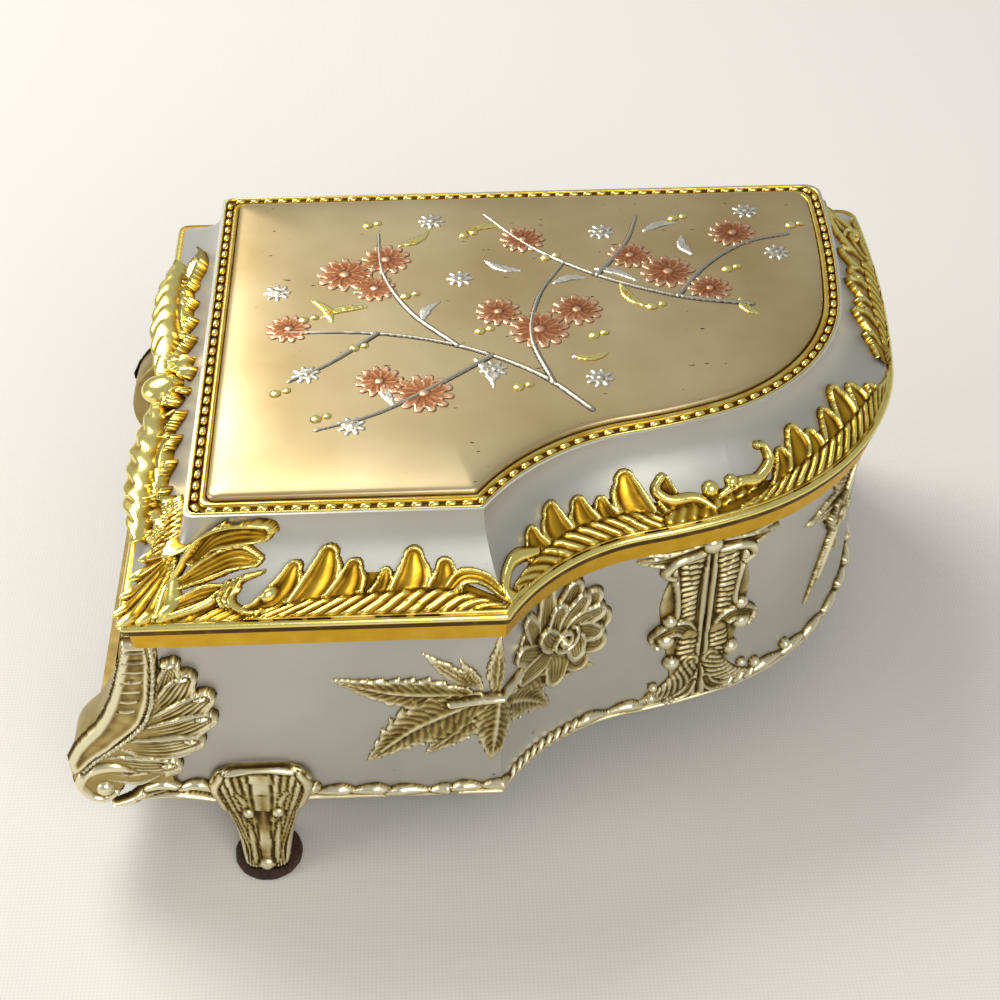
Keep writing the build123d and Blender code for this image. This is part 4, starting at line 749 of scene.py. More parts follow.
def front_border():
    """Leaf along the front, and the cupped half of the leaf that turns the front left corner."""
    strip = lid_strip(1.5, 62)
    strip.stroke([(17, 1.0), (27, up(62.2)), (45, up(62.4)), (55, up(61.2))], (0.8, 3.0, 3.0, 0.8), flat(0.3))
    for u, level, width in ((37.8, 64.9, 1.4), (21.8, 65.7, 2.1), (27.4, 67.4, 2.6), (32.2, 65.7, 2.2),
                            (42.6, 66.8, 2.6), (48.0, 65.4, 2.3)):
        lid_lobe(strip, u, level, width)
    strip.stroke([(46.5, up(61.6)), (50.1, up(63.6)), (53.9, up(63.2)), (56.8, up(61.0))],
                 (0.8, 1.3, 1.2, 0.5), cupped(1.0, 1.2, 1.1))
    lid_body(strip, [(16, 0.7), (24, 1.5), (36, 2.0), (48, 2.2), (57, 0.6)], (0.6, 1.6, 2.1, 2.1, 0.4))
    strip.stroke([(12, 0.2), (34, 0.1), (57.5, 0.2)], (0.5, 0.4, 0.5), rolled(0.9, 0.8, 0.9))
    strip.stroke([(2.2, 1.0), (8, 1.3), (16, 0.9)], (1.3, 1.5, 1.0),
                 ribbed(0.6, 0.7, 0.6, pitch=2.2, lean=1.6))
    strip.stroke([(3.4, 1.6), (7.5, up(62.2)), (12.4, up(62.9))], (1.2, 2.2, 1.2),
                 cupped(0.9, 1.1, 1.0, veins=2.5))
    strip.stroke([(3.0, up(63.8)), (6.0, up(65.2)), (10.0, up(66.6)), (14.2, up(66.2))],
                 (1.2, 2.2, 2.6, 2.3, 1.1), cupped(0.9, 1.2, 1.3, 1.2, veins=2.5))
    strip.stroke([(3.0, up(66.6)), (5.4, up(69.4)), (9.6, up(70.6)), (14.4, up(70.2))],
                 (1.2, 2.0, 2.7, 2.5, 1.5), cupped(0.9, 1.3, 1.4, 1.3, veins=2.5))
    strip.stroke([(3.4, 0.8), (1.5, up(63.4)), (1.6, up(67.2)), (3.6, up(70.2)), (8.4, up(72.0)),
                  (14.8, up(71.9)), (16.2, up(70.6))], (0.7, 0.7, 0.65, 0.6, 0.6, 0.8, 0.5),
                 rolled(1.3, 1.5, 1.6, 1.6, 1.6, 1.7))
    strip.stroke([(4.2, 0.6), (9.4, up(61.6)), (12.4, up(63.8)), (16.0, up(64.8))], (0.7, 1.1, 1.0, 0.4),
                 rolled(1.1, 1.4, 1.3, 0.9))
    for reach in (4.4, 3.3, 2.2):
        strip.stroke([(15.2 - reach, up(64.4) - reach * 0.2), (14.8 - reach * 0.75, up(61.9)),
                      (16.2 + reach * 0.2, up(60.9) - reach * 0.1), (19.0, up(61.2) - reach * 0.25)],
                     (0.4, 0.55, 0.5, 0.35), rolled(1.0, 1.3, 1.2, 0.9))
    strip.boss((18.9, up(62.4)), 1.3, 1.7)
    cast_on_lid(strip, "gilt_border_front", "lid_border_front")


def corner_shell():
    """The shell at the front left corner, with two cords that lead to the side's leaves."""
    strip = lid_strip(-16, 8)
    for low, tip in (((-4.5, up(67.0)), (-15.6, up(66.4))), ((-4.0, up(64.6)), (-15.4, up(63.0)))):
        strip.stroke([low, ((low[0] + tip[0]) / 2, low[1] + 0.5), tip], (1.3, 2.0, 1.6),
                     ribbed(0.9, 1.2, 1.0, pitch=1.3, lean=1.2))
    strip.volute((-6.4, up(64.0)), 2.6, 1.4, radians(60), -1, 0.6, 1.4)
    apex = (-0.9, up(67.4))
    strip.fan(apex, up(67.4) + 0.3, radians(-152), radians(-52), 7, 1.25)
    strip.stroke([(-3.2, up(68.2)), (-0.9, up(67.8)), (1.2, up(68.4))], (0.5, 0.8, 0.5),
                 rolled(1.1, 1.4, 1.1))
    cast_on_lid(strip, "gilt_corner_shell", "lid_corner_leaf", on_side)


def bent_border():
    """Two leaves along the bent side, joined by scrolls and a pair of berries."""
    strip = lid_strip(54, 152)
    strip.stroke([(63, 1.6), (74, up(62.2)), (84, up(62.4)), (94, 1.2)], (1.4, 2.6, 2.8, 0.9), flat(0.3))
    for u, level, width in ((90.6, 65.8, 1.7), (84.0, 66.9, 2.5), (79.3, 64.7, 1.7), (75.2, 65.5, 2.1),
                            (69.9, 66.3, 2.3), (65.2, 65.0, 2.0)):
        lid_lobe(strip, u, level, width, -1)
    lid_body(strip, [(60, 1.4), (70, 2.2), (84, 2.0), (97, 0.5)], (1.2, 2.1, 2.0, 0.4), -1)
    strip.stroke([(66, up(62.4)), (60.5, up(63.4)), (57.2, up(61.9)), (58.6, 0.6), (62, 0.3)],
                 (0.8, 1.3, 1.4, 1.1, 0.5), rolled(1.1, 1.5, 1.6, 1.2, 0.9))
    strip.stroke([(91, 1.4), (99, 2.4), (106, 2.2), (112, 1.6)], (1.4, 2.4, 2.2, 1.6),
                 ribbed(0.7, 0.8, 0.8, pitch=2.2))
    strip.stroke([(91.2, up(65.6)), (89.6, up(64.2)), (91.6, up(62.8)), (96.2, up(62.4)), (99.0, 1.6)],
                 (0.7, 1.0, 1.1, 1.0, 0.5), rolled(1.3, 1.6, 1.5, 1.3, 1.1))
    strip.stroke([(100, 0.8), (112, 1.8), (126, up(62.2)), (140, 1.8), (149, 0.4)], (0.9, 2.0, 2.8, 1.8, 0.4),
                 flat(0.3))
    for u, level, width in ((115.0, 64.8, 1.7), (119.4, 66.4, 2.3), (122.9, 64.9, 1.6), (128.6, 65.6, 2.2),
                            (134.1, 66.7, 2.5), (139.3, 64.8, 2.0), (143.7, 62.6, 1.6)):
        lid_lobe(strip, u, level, width)
    lid_body(strip, [(104, 0.6), (116, 1.8), (130, 2.1), (141, 1.8), (150, 0.3)], (0.5, 1.8, 2.1, 1.7, 0.3))
    strip.stroke([(100.6, up(62.0)), (104.7, up(62.8)), (108.2, up(62.6)), (111.6, up(63.9)),
                  (111.8, up(65.8)), (110.4, up(66.4))], (0.6, 1.0, 1.1, 1.1, 0.9, 0.7),
                 rolled(1.2, 1.5, 1.5, 1.6, 1.6, 1.4))
    strip.stroke([(56, 0.2), (100, 0.1), (151, 0.2)], (0.4, 0.4, 0.4), rolled(0.9, 0.8, 0.9))
    strip.boss((99.2, up(63.0)), 1.4, 1.8)
    strip.boss((103.3, up(63.2)), 1.2, 1.6)
    cast_on_lid(strip, "gilt_border_bentside", "lid_border_bentside")


def paired_leaves(strip, middle, reach, count, tall):
    """Two leaves that leave a central knob along the rim, one each way."""
    for way in (-1, 1):
        lift = 1.5
        strip.stroke([(middle + way * 3, lift), (middle + way * reach * 0.5, 3.0),
                      (middle + way * reach, 0.6)], (1.6, 2.6, 0.6), flat(0.3))
        for i in range(count, 0, -1):
            share = i / count
            top = RIM_TOP + tall * (0.62 + 0.3 * sin(pi * share) + 0.13 * (i % 2))
            lid_lobe(strip, middle + way * reach * share * 0.94, top, 2.5 - 0.5 * share, way)
        lid_body(strip, [(middle + way * 2, 1.0), (middle + way * reach * 0.5, 1.6),
                         (middle + way * reach, 0.4)], (1.0, 1.7, 0.4), way)
        strip.volute((middle + way * 4.2, up(62.8)), 2.6, 1.2, radians(90), way, 0.65, 1.2)
    strip.fan((middle, up(66.4)), up(66.4) - 0.3, radians(-122), radians(-58), 5, 1.1)
    strip.boss((middle, up(64.4)), 2.2, 1.9)


def plume(strip, start, end):
    """A long twisted spindle between smooth rolled edges, low on the wall."""
    third = (end - start) / 3
    for v in (5.6, 0.9):
        strip.stroke([(start, 3.0), (start + third, v), (end - third, v), (end, 3.2)], (0.7, 0.8, 0.8, 0.6),
                     rolled(1.2, 1.5, 1.4))
    spindle = [(start, 3.0), (start + third, 3.2), (end - third, 3.2), (end, 3.2)]
    lean = 4.2 if end > start else -4.2
    strip.stroke(spindle, (1.3, 2.6, 2.8, 2.2, 0.9), rolled(1.6, 2.3, 2.3, 1.5))
    strip.stroke(spindle, (1.2, 2.5, 2.7, 2.1, 0.8),
                 ribbed(1.8, 2.7, 2.7, 1.7, pitch=4.4, lean=lean, depth=0.1))


def side_borders():
    """Leaves of the keyboard side, with a plume each way from a knob, and of the spine side."""
    middle = (SIDE_U + SIDE_END_U) / 2
    strip = lid_strip(SIDE_U + 1, SIDE_END_U - 11)
    for way in (-1, 1):
        for i in range(4):
            lid_lobe(strip, middle + way * (12 + 6.5 * i), 65.6 - 0.4 * i, 1.9, way)
        strip.stroke([(middle + way * 30, up(62.4)), (middle + way * 37, up(64.8)),
                      (middle + way * 42.5, up(64.6))], (0.8, 1.9, 0.6), cupped(1.1, 1.4, 1.1))
        plume(strip, middle + way * 4.5, middle + way * 38)
        strip.volute((middle + way * 5.2, up(63.9)), 2.4, 1.2, radians(90), way, 0.65, 1.5)
    strip.boss((middle, 3.4), 3.3, 2.6)
    strip.boss((middle, up(66.0)), 1.5, 1.7)
    cast_on_lid(strip, "gilt_border_keyboard", "lid_border_keyboard", on_side)
    middle = (SPINE_U + SPINE_END_U) / 2
    strip = lid_strip(SPINE_U + 1, SPINE_END_U - 1)
    paired_leaves(strip, middle, 58, 11, 6.2)
    cast_on_lid(strip, "gilt_border_spine", "lid_border_spine")


def tail_border():
    """The leaf on the tail, which ends in two lifted cups."""
    strip = lid_strip(153, TAIL_CORNER_U + 4)
    strip.stroke([(154, 0.5), (168, 2.6), (184, 3.0), (197, 1.6)], (0.6, 2.6, 2.8, 1.2), flat(0.3))
    for u, level, width in ((158.0, 63.6, 1.8), (163.4, 65.4, 2.2), (168.2, 64.4, 1.9), (173.6, 66.0, 2.4),
                            (178.8, 64.8, 2.0), (184.4, 66.4, 2.4)):
        lid_lobe(strip, u, level, width)
    lid_body(strip, [(153, 0.4), (168, 1.5), (182, 1.6), (199, 0.6)], (0.4, 1.6, 1.7, 0.6))
    strip.stroke([(184, 1.6), (191, up(63.6)), (197, up(68.2)), (201.6, up(68.0))], (1.0, 2.3, 2.3, 1.0),
                 cupped(0.9, 1.2, 1.3, 1.2))
    strip.stroke([(186, 1.2), (193, up(62.4)), (198, up(65.0)), (202, up(64.8))], (1.0, 1.9, 1.8, 0.8),
                 cupped(0.9, 1.2, 1.2, 1.1))
    strip.volute((191.5, up(62.2)), 2.6, 1.3, radians(90), -1, 0.7, 1.3)
    cast_on_lid(strip, "gilt_border_tail", "lid_border_tail")


def rim_band():
    """The moulded edge under the leaves: a fillet lit with a painted highlight over a face and underside
    darkened with painted shade.
    """
    profile = [(LID_FLARE - 0.4, RIM_TOP + 0.2), (LID_FLARE + 0.4, RIM_TOP + 0.3),
               (RIM_OFFSET - 0.3, RIM_TOP), (RIM_OFFSET - 0.02, 59.72), (RIM_OFFSET - 0.1, 59.42),
               (RIM_OFFSET - 0.25, 59.3), (RIM_OFFSET - 0.3, 58.7), (RIM_OFFSET - 0.42, 58.2),
               (RIM_OFFSET - 0.7, LID_BOTTOM), (LID_FLARE - 0.4, LID_BOTTOM)]
    # Tone for each point of the profile: a painted highlight on the rounded outer edge, painted shade down
    # the face and deepest underneath
    ridges = (0.5, 0.75, 0.95, 1.0, 0.7, 0.22, 0.2, 0.22, 0.35, 0.1)
    points, faces = moulding(profile)
    piece = mesh_piece("gilt_rim", points, faces, lid_gilt, closed=True)
    mark(piece, np.tile(ridges, len(ring_u)))
    settle(piece, "lid", "bright_gilt", "lid_rim_band")


front_border()
corner_shell()
bent_border()
side_borders()
tail_border()
rim_band()


# Beaded frame round the plaque


def cushion_bead(count_round, count_up):
    """Points of a unit bead with a squarish plan, and its faces."""
    rows = []
    turn = 2 * pi * np.arange(count_round) / count_round
    square = 1 / np.maximum(np.abs(np.cos(turn)), np.abs(np.sin(turn))) ** 0.5
    for k in range(count_up):
        angle = pi / 2 * k / count_up
        ring = cos(angle) ** 0.7 * square
        rows.append(np.stack([ring * np.cos(turn), ring * np.sin(turn), np.full(count_round, sin(angle))], 1))
    points = np.concatenate(rows + [np.array([[0, 0, 1.0]])])
    faces = []
    for k in range(count_up - 1):
        for i in range(count_round):
            j = (i + 1) % count_round
            faces.append((k * count_round + i, k * count_round + j, (k + 1) * count_round + j,
                          (k + 1) * count_round + i))
    last = (count_up - 1) * count_round
    faces += [(last + i, last + (i + 1) % count_round, len(points) - 1) for i in range(count_round)]
    return points, faces


def bead_frame():
    """A smooth inner fillet, a row of cushion-shaped beads and a thin outer lip."""
    profile = [(-0.2, BEAD_SEAT), (-0.2, 73.5), (-0.34, 73.66), (-0.5, 73.5), (-0.6, BEAD_FLOOR),
               (-1.9, BEAD_FLOOR), (-2.0, 73.45), (-2.3, 73.66), (-2.8, 73.6), (-3.08, 73.35),
               (-3.1, BEAD_SEAT)]
    # Tone for each point of the profile: a painted highlight on the fillet and lip, painted shade on the
    # channel floor between them
    ridges = (0.2, 0.85, 1.0, 0.6, 0.0, 0.0, 0.55, 0.75, 0.7, 0.3, 0.0)
    strip, strip_faces = moulding(profile)
    points = [strip]
    faces = [tuple(face) for face in strip_faces]
    ridge = list(np.tile(ridges, len(ring_u)))
    fine = np.arange(0, PERIMETER, SAMPLE)
    middle = plan_at(fine, BEAD_OFFSET)
    lengths = np.concatenate([[0], np.cumsum(np.hypot(*np.diff(middle, axis=0).T))])
    count = round(lengths[-1] / BEAD_PITCH)
    bead, bead_faces = cushion_bead(16, 5)
    base = len(strip)
    for i in range(count):
        at = np.interp((i + 0.5) * lengths[-1] / count, lengths, fine)
        here, ahead = plan_at(at, BEAD_OFFSET), plan_at(at + 0.2, BEAD_OFFSET)
        along = (ahead - here) / np.hypot(*(ahead - here))
        shaped = bead * BEAD_HALVES
        x = here[0] + shaped[:, 0] * along[0] - shaped[:, 1] * along[1]
        y = here[1] + shaped[:, 0] * along[1] + shaped[:, 1] * along[0]
        points.append(np.stack([x, y, BEAD_FLOOR + shaped[:, 2]], 1))
        faces += [tuple(base + corner for corner in face) for face in bead_faces]
        base += len(bead)
        # Each bead lighter towards its top: a painted highlight over painted shade at its foot
        ridge += list(0.15 + 0.85 * bead[:, 2])
    piece = mesh_piece("beaded_frame", np.concatenate(points), faces, lid_gilt)
    mark(piece, ridge)
    settle(piece, "lid", "bright_gilt", "lid_bead_frame")


bead_frame()


def plaque():
    """The pillow-shaped plate, with a rolled edge and a crown that reaches well in."""
    rings = [plan_ring(ring_u, -inset, z)
             for inset, z in ((PILLOW_INSETS[0], BEAD_SEAT), *zip(PILLOW_INSETS, PILLOW_LEVELS))]
    piece = ring_form("champagne_plaque", rings, champagne)
    settle(piece, "lid", "champagne_plaque", "lid_plaque")


plaque()


# Inlay on the plaque: reeds with pointed leaves, daisies and berries


def daisy(carving, centre, reach, petals, turn, rise=1.0):
    """A flower of narrow petals round a raised eye."""
    for i in range(petals):
        angle = 2 * pi * i / petals + turn
        way = np.array([cos(angle), sin(angle)])
        carving.stroke([centre + way * reach * 0.2, centre + way * reach * 0.6, centre + way * reach],
                       (reach * 0.12, reach * 0.24, reach * 0.17),
                       cupped(rise, rise, rise, floor=0.6, veins=0.5))
    carving.boss(centre, reach * 0.24, rise * 1.25)


def reed_leaf(carving, root, length, angle, bend, width=0.95):
    """A long pointed leaf with a midrib."""
    way = np.array([cos(angle), sin(angle)])
    side = np.array([-way[1], way[0]])
    carving.stroke([root, root + way * length * 0.5 + side * bend, root + way * length],
                   (0.3, width, width * 0.8, 0.1), veined(0.9, 1.1, 0.8, pitch=1.6, depth=0.15))


def plaque_inlay():
    """Reeds, daisies, berries and pointed leaves, each metal as a piece of its own."""
    area = (5, 111), (5, 87)
    stems, copper = Carving(*area), Carving(*area)
    gold, pale = Carving(*area), Carving(*area)
    reeds = (
        ((66, 22), (57, 32), (44, 40), (30, 44), (14, 45)),
        ((97, 50), (84, 53), (70, 60), (58, 70), (50, 81)),
        ((60, 29), (57, 42), (59, 54), (64, 64)),
        ((44, 40), (36, 50), (31, 62), (30, 75)),
        ((50, 37), (40, 29), (30, 22), (20, 18)),
        ((84, 53), (90, 62), (98, 69), (107, 72)),
        ((30, 44), (22, 36), (15, 31)),
        ((70, 60), (76, 70), (79, 79)),
    )
    for reed in reeds:
        stems.stroke(reed, (0.55, 0.5, 0.42, 0.28), rolled(1.3, 1.2, 1.0))
    clusters = (((24, 62), 4.4), ((31.5, 66.5), 4.0), ((29.5, 57.5), 3.4), ((58.5, 44), 4.6),
                ((65.5, 49.5), 3.9), ((51.5, 49.5), 3.5), ((38, 27), 4.4), ((30.5, 30.5), 3.6),
                ((83, 60.5), 4.3), ((90, 55), 3.4), ((76.5, 66), 3.5), ((14.5, 46), 3.4),
                ((96.5, 72.5), 3.8), ((57, 72), 3.6))
    for i, (centre, reach) in enumerate(clusters):
        daisy(copper, np.array(centre, float), reach, 12, 0.4 * i)
    small = ((45, 60), (18, 33), (72, 74), (104, 66), (26, 19), (40, 79), (50, 33), (68, 30), (12, 57),
             (100, 80))
    for i, centre in enumerate(small):
        daisy(pale, np.array(centre, float), 2.1, 8, 0.3 * i, 0.9)
    leaves = ((38, 47.5, 60), (22, 48, 120), (47, 36, -70), (64, 36, 10), (56, 62, 150), (74, 57, -60),
              (88, 66, 100), (34, 71, 40), (33, 24, 100), (95, 52, -60), (80, 74, 20), (28, 52, 200),
              (62, 58, 10), (53, 77, 200), (70, 62, -30))
    for i, (x, y, turn) in enumerate(leaves):
        reed_leaf(gold if i % 2 else pale, np.array([x, y], float), 6.4 + i % 3, radians(turn),
                  0.9 * (-1) ** i)
    berries = ((17, 48.5), (26, 40), (35, 55), (48, 44), (20, 21), (61, 66), (79, 50), (94, 61), (108, 75),
               (46, 74), (28, 78), (68, 42), (13, 28), (86, 78), (54, 28))
    for x, y in berries:
        gold.boss((x, y), 0.95, 1.3)
        gold.boss((x + 1.9, y + 0.7), 0.75, 1.2)
    stems.piece("inlay_reeds", on_plaque, inlay_stem, "lid", "silver_lacquer")
    copper.piece("inlay_daisies", on_plaque, inlay_copper, "lid", "champagne_plaque")
    gold.piece("inlay_gilt_leaves", on_plaque, inlay_gold, "lid", "bright_gilt")
    pale.piece("inlay_pale_flowers", on_plaque, inlay_silver, "lid", "silver_lacquer")


plaque_inlay()


# Ornaments on the case


def bent_middle(root, tip, bend):
    """The middle of the line between two places, pushed to its left by bend."""
    du, dv = tip[0] - root[0], tip[1] - root[1]
    length = hypot(du, dv)
    return ((root[0] + tip[0]) / 2 - dv / length * bend, (root[1] + tip[1]) / 2 + du / length * bend)


def spoke(centre, reach, turn):
    """The place at a distance from a centre, in the direction of turn."""
    return (centre[0] + reach * cos(turn), centre[1] + reach * sin(turn))


def rose_leaf(carving, root, tip, width, rise=1.0, bend=0.0, veins=1.5, teeth=9):
    """A toothed leaf with a midrib and long slanting veins."""
    carving.stroke([root, bent_middle(root, tip, bend), tip],
                   (width * 0.45, width, width * 0.92, width * 0.5, 0.15),
                   veined(rise * 0.8, rise, rise, rise * 0.7, pitch=veins, lean=3.2), (teeth, 0.26))


def petal(carving, root, tip, width, rise, bend=0.0):
    """A petal whose outer edge rolls over."""
    carving.stroke([root, bent_middle(root, tip, bend), tip], (width * 0.4, width * 0.95, width, width * 0.8),
                   cupped(rise * 0.8, rise, rise * 1.1, floor=0.76, veins=3.5, vein=0.07))


def case_points(points):
    """Drawn X and Z turned into u and v on the case wall."""
    return [(float(u_of_x(x)), z) for x, z in points]


def rose_spray():
    """The flower on the nose of the case: toothed leaves under an open rose and a rolled bud."""
    left, right = case_points([(18, 0), (72, 0)])
    carving = Carving((left[0], right[0]), (19, 55))

    def leaf(root, tip, width, **more):
        start, end = case_points([root, tip])
        rose_leaf(carving, start, end, width, **more)

    leaf((44, 41), (36.6, 48.6), 1.7, rise=0.9, teeth=4)
    leaf((46, 40), (42.7, 46.8), 1.3, rise=0.9, teeth=4)
    leaf((43, 38.5), (21.4, 42.9), 4.0, bend=1.2, teeth=8)
    leaf((45.5, 34), (36.4, 23.2), 3.4, teeth=5)
    leaf((45, 36.5), (26.3, 21.9), 5.6, rise=1.1, bend=-1.6, teeth=9)
    leaf((50, 35), (58.6, 23.4), 4.2, bend=0.8, teeth=6)
    leaf((49.0, 36.5), (47.6, 21.4), 4.4, rise=1.15, teeth=7)
    leaf((53, 36), (66.6, 28.2), 3.4, teeth=6)
    leaf((48.5, 39.5), (49.4, 52.4), 1.9, teeth=5)
    leaf((53, 41), (55.0, 50.6), 1.7, teeth=5)
    centre = case_points([(58.6, 38.2)])[0]
    open_petals = ((118, 12.4, 1.8), (96, 14.2, 2.2), (70, 12.8, 2.6), (44, 11.6, 2.6), (150, 8.6, 2.6),
                   (-48, 8.6, 3.0), (-84, 7.4, 2.8), (12, 10.2, 3.0), (-20, 9.8, 3.0), (190, 6.8, 2.6))
    for angle, reach, width in open_petals:
        petal(carving, centre, spoke(centre, reach, radians(angle)), width, 1.2, bend=0.6)
    bud = (centre[0] + 2.4, centre[1] + 1.6)
    bud_petals = ((100, 7.4), (64, 8.0), (26, 7.4), (-14, 6.6), (140, 5.4), (-60, 5.4))
    for i, (angle, reach) in enumerate(bud_petals):
        petal(carving, bud, spoke(bud, reach, radians(angle)), 2.3, 1.7 + 0.06 * i, bend=0.9)
    carving.volute(bud, 3.0, 1.8, radians(30), -1, 0.7, 2.2)
    stem = case_points([(40.8, 36.6), (46.0, 37.6), (53.0, 38.6)])
    carving.stroke(stem, (0.7, 0.8, 0.6), rolled(1.7, 1.9, 1.7))
    cast_on_case(carving, "rose_relief", "rose_spray")


def pillar():
    """Two stacks of ringed consoles on either side of a rib, under a pair of wings."""
    middle = float(u_of_x(86.6))
    carving = Carving((middle - 19, middle + 16), (WALL_FOOT - 0.6, CASE_TOP + 0.2))
    for way in (-1, 1):
        def at(across, z):
            return (middle + way * across, z)
        carving.stroke([at(2.2, 50), at(4.6, 40), at(3.2, 26), at(2.2, 15)], (2.6, 4.2, 3.6, 2.8), flat(0.6))
        carving.stroke([at(0.9, 52.5), at(0.8, 34), at(0.8, 14.0)], (0.6, 0.5, 0.8), rolled(1.5, 1.2, 1.1))
        carving.stroke([at(3.2, 49.0), at(4.0, 42), at(3.4, 34.5)], (2.4, 2.3, 1.6),
                       ribbed(1.1, 1.2, 1.1, pitch=1.3, lean=0.0, depth=0.5))
        carving.stroke([at(2.0, 53.0), at(9.5, 53.2), at(14.8, 53.4)], (1.2, 1.5, 0.3), cupped(1.0, 1.3, 0.9))
        carving.stroke([at(2.0, 51.4), at(8.5, 50.4), at(13.4, 50.9)], (1.2, 1.6, 0.3), cupped(1.0, 1.3, 0.9))
        carving.stroke([at(7.0, 48.6), at(5.9, 42), at(5.6, 37.0), at(6.6, 34.4)], (0.8, 0.7, 0.6, 0.8),
                       rolled(1.5, 1.4, 1.4, 1.5))
        carving.stroke([at(1.6, 50.4), at(6.4, 50.0), at(8.4, 47.4), at(6.8, 45.8)], (0.7, 1.1, 1.0, 0.7),
                       rolled(1.4, 1.8, 1.8, 1.4))
        carving.stroke([at(1.6, 29.8), at(5.2, 33.4), at(9.4, 32.0), at(9.0, 29.6)], (0.9, 1.9, 1.4, 0.7),
                       cupped(1.3, 1.8, 1.8, veins=2.5))
        carving.boss(at(6.9, 35.4), 1.3, 2.0)
        carving.boss(at(7.4, 30.4), 1.6, 2.1)
        carving.stroke([at(2.8, 30.0), at(3.2, 26.4), at(2.8, 22.8)], (2.0, 2.1, 2.0),
                       ribbed(1.0, 1.1, 1.1, pitch=1.3, lean=0.0, depth=0.5))
        carving.stroke([at(2.0, 23.0), at(3.8, 18.8), at(7.4, 15.8), at(11.2, 14.6)], (2.0, 2.4, 1.7, 0.4),
                       ribbed(1.1, 1.2, 1.1, 0.8, pitch=1.5, lean=2.0))
        carving.stroke([at(1.2, 18.0), at(2.6, 15.2), at(6.2, 13.4)], (0.9, 1.2, 0.6), cupped(1.2, 1.3, 1.0))
        carving.boss(at(5.9, 24.2), 1.5, 2.0)
        carving.boss(at(9.0, 18.2), 0.9, 1.4)
    carving.boss((middle, 52.0), 1.8, 2.0)
    cast_on_case(carving, "pillar_relief", "pillar_ornament")


def tail_and_spine_sprays():
    """The hanging spray on the tail and the flower in the middle of the spine side."""
    carving = Carving((112, 148), (14, 55))
    for root, tip, width in (((133.0, 46.0), (121.2, 45.4), 2.3), ((134.0, 48.0), (127.0, 52.6), 1.9),
                             ((131.0, 41.0), (138.4, 38.6), 2.0), ((132.4, 44.0), (141.6, 46.6), 2.3),
                             ((129.8, 36.0), (135.4, 30.0), 1.8), ((134.8, 50.0), (142.6, 53.2), 1.9)):
        rose_leaf(carving, root, tip, width, teeth=6)
    carving.stroke([(131, 37), (128.4, 31), (124.6, 23.6)], (1.3, 1.5, 0.2), veined(1.1, 1.2, 0.8, pitch=2.2))
    carving.stroke([(139, 53), (133.4, 45), (130.4, 37), (127.0, 29)], (0.6, 0.8, 0.7, 0.4),
                   rolled(1.4, 1.6, 1.3))
    flower = (131.6, 42.6)
    for i in range(6):
        petal(carving, flower, spoke(flower, 3.0, radians(60 * i)), 1.4, 1.6)
    carving.boss(flower, 1.1, 2.1)
    cast_on_case(carving, "tail_relief", "tail_spray")
    flower = ((SPINE_U + SPINE_END_U) / 2, 35)
    carving = Carving((flower[0] - 24, flower[0] + 24), (21, 50))
    for way in (-1, 1):
        for lift, reach in ((-9, 17), (-2, 22), (7, 18)):
            root, tip = (flower[0] + way * 4, flower[1]), (flower[0] + way * reach, flower[1] + lift * 1.1)
            rose_leaf(carving, root, tip, 3.6, teeth=8)
    for ring, reach, rise in ((8, 7.2, 1.3), (5, 4.0, 1.9)):
        for i in range(ring):
            petal(carving, flower, spoke(flower, reach, 2 * pi * i / ring), reach * 0.42, rise)
    carving.volute(flower, 2.6, 1.8, 0, 1, 0.7, 2.2)
    cast_on_case(carving, "spine_relief", "spine_spray")


def pods(carving, places, base):
    """A string of smooth pods, ropes and berries along the foot of a wall."""
    for kind, start, end, lift in places:
        low = base + lift
        if kind == "pod":
            carving.stroke([(start, low), (0.6 * start + 0.4 * end, low + 0.5), (end, low + 0.1)],
                           (0.7, 1.2, 1.0, 0.35), rolled(1.2, 1.6, 1.3, 0.9))
        elif kind == "rope":
            count = int(abs(end - start) / 1.9)
            for i in range(count):
                u = start + (end - start) * (i + 0.5) / count
                carving.stroke([(u - 0.7, low - 0.5), (u + 0.7, low + 0.9)], (0.6, 0.7, 0.6),
                               rolled(1.1, 1.5, 1.1))
        elif kind == "berry":
            carving.boss(((start + end) / 2, low + 0.5), 1.05, 1.7)


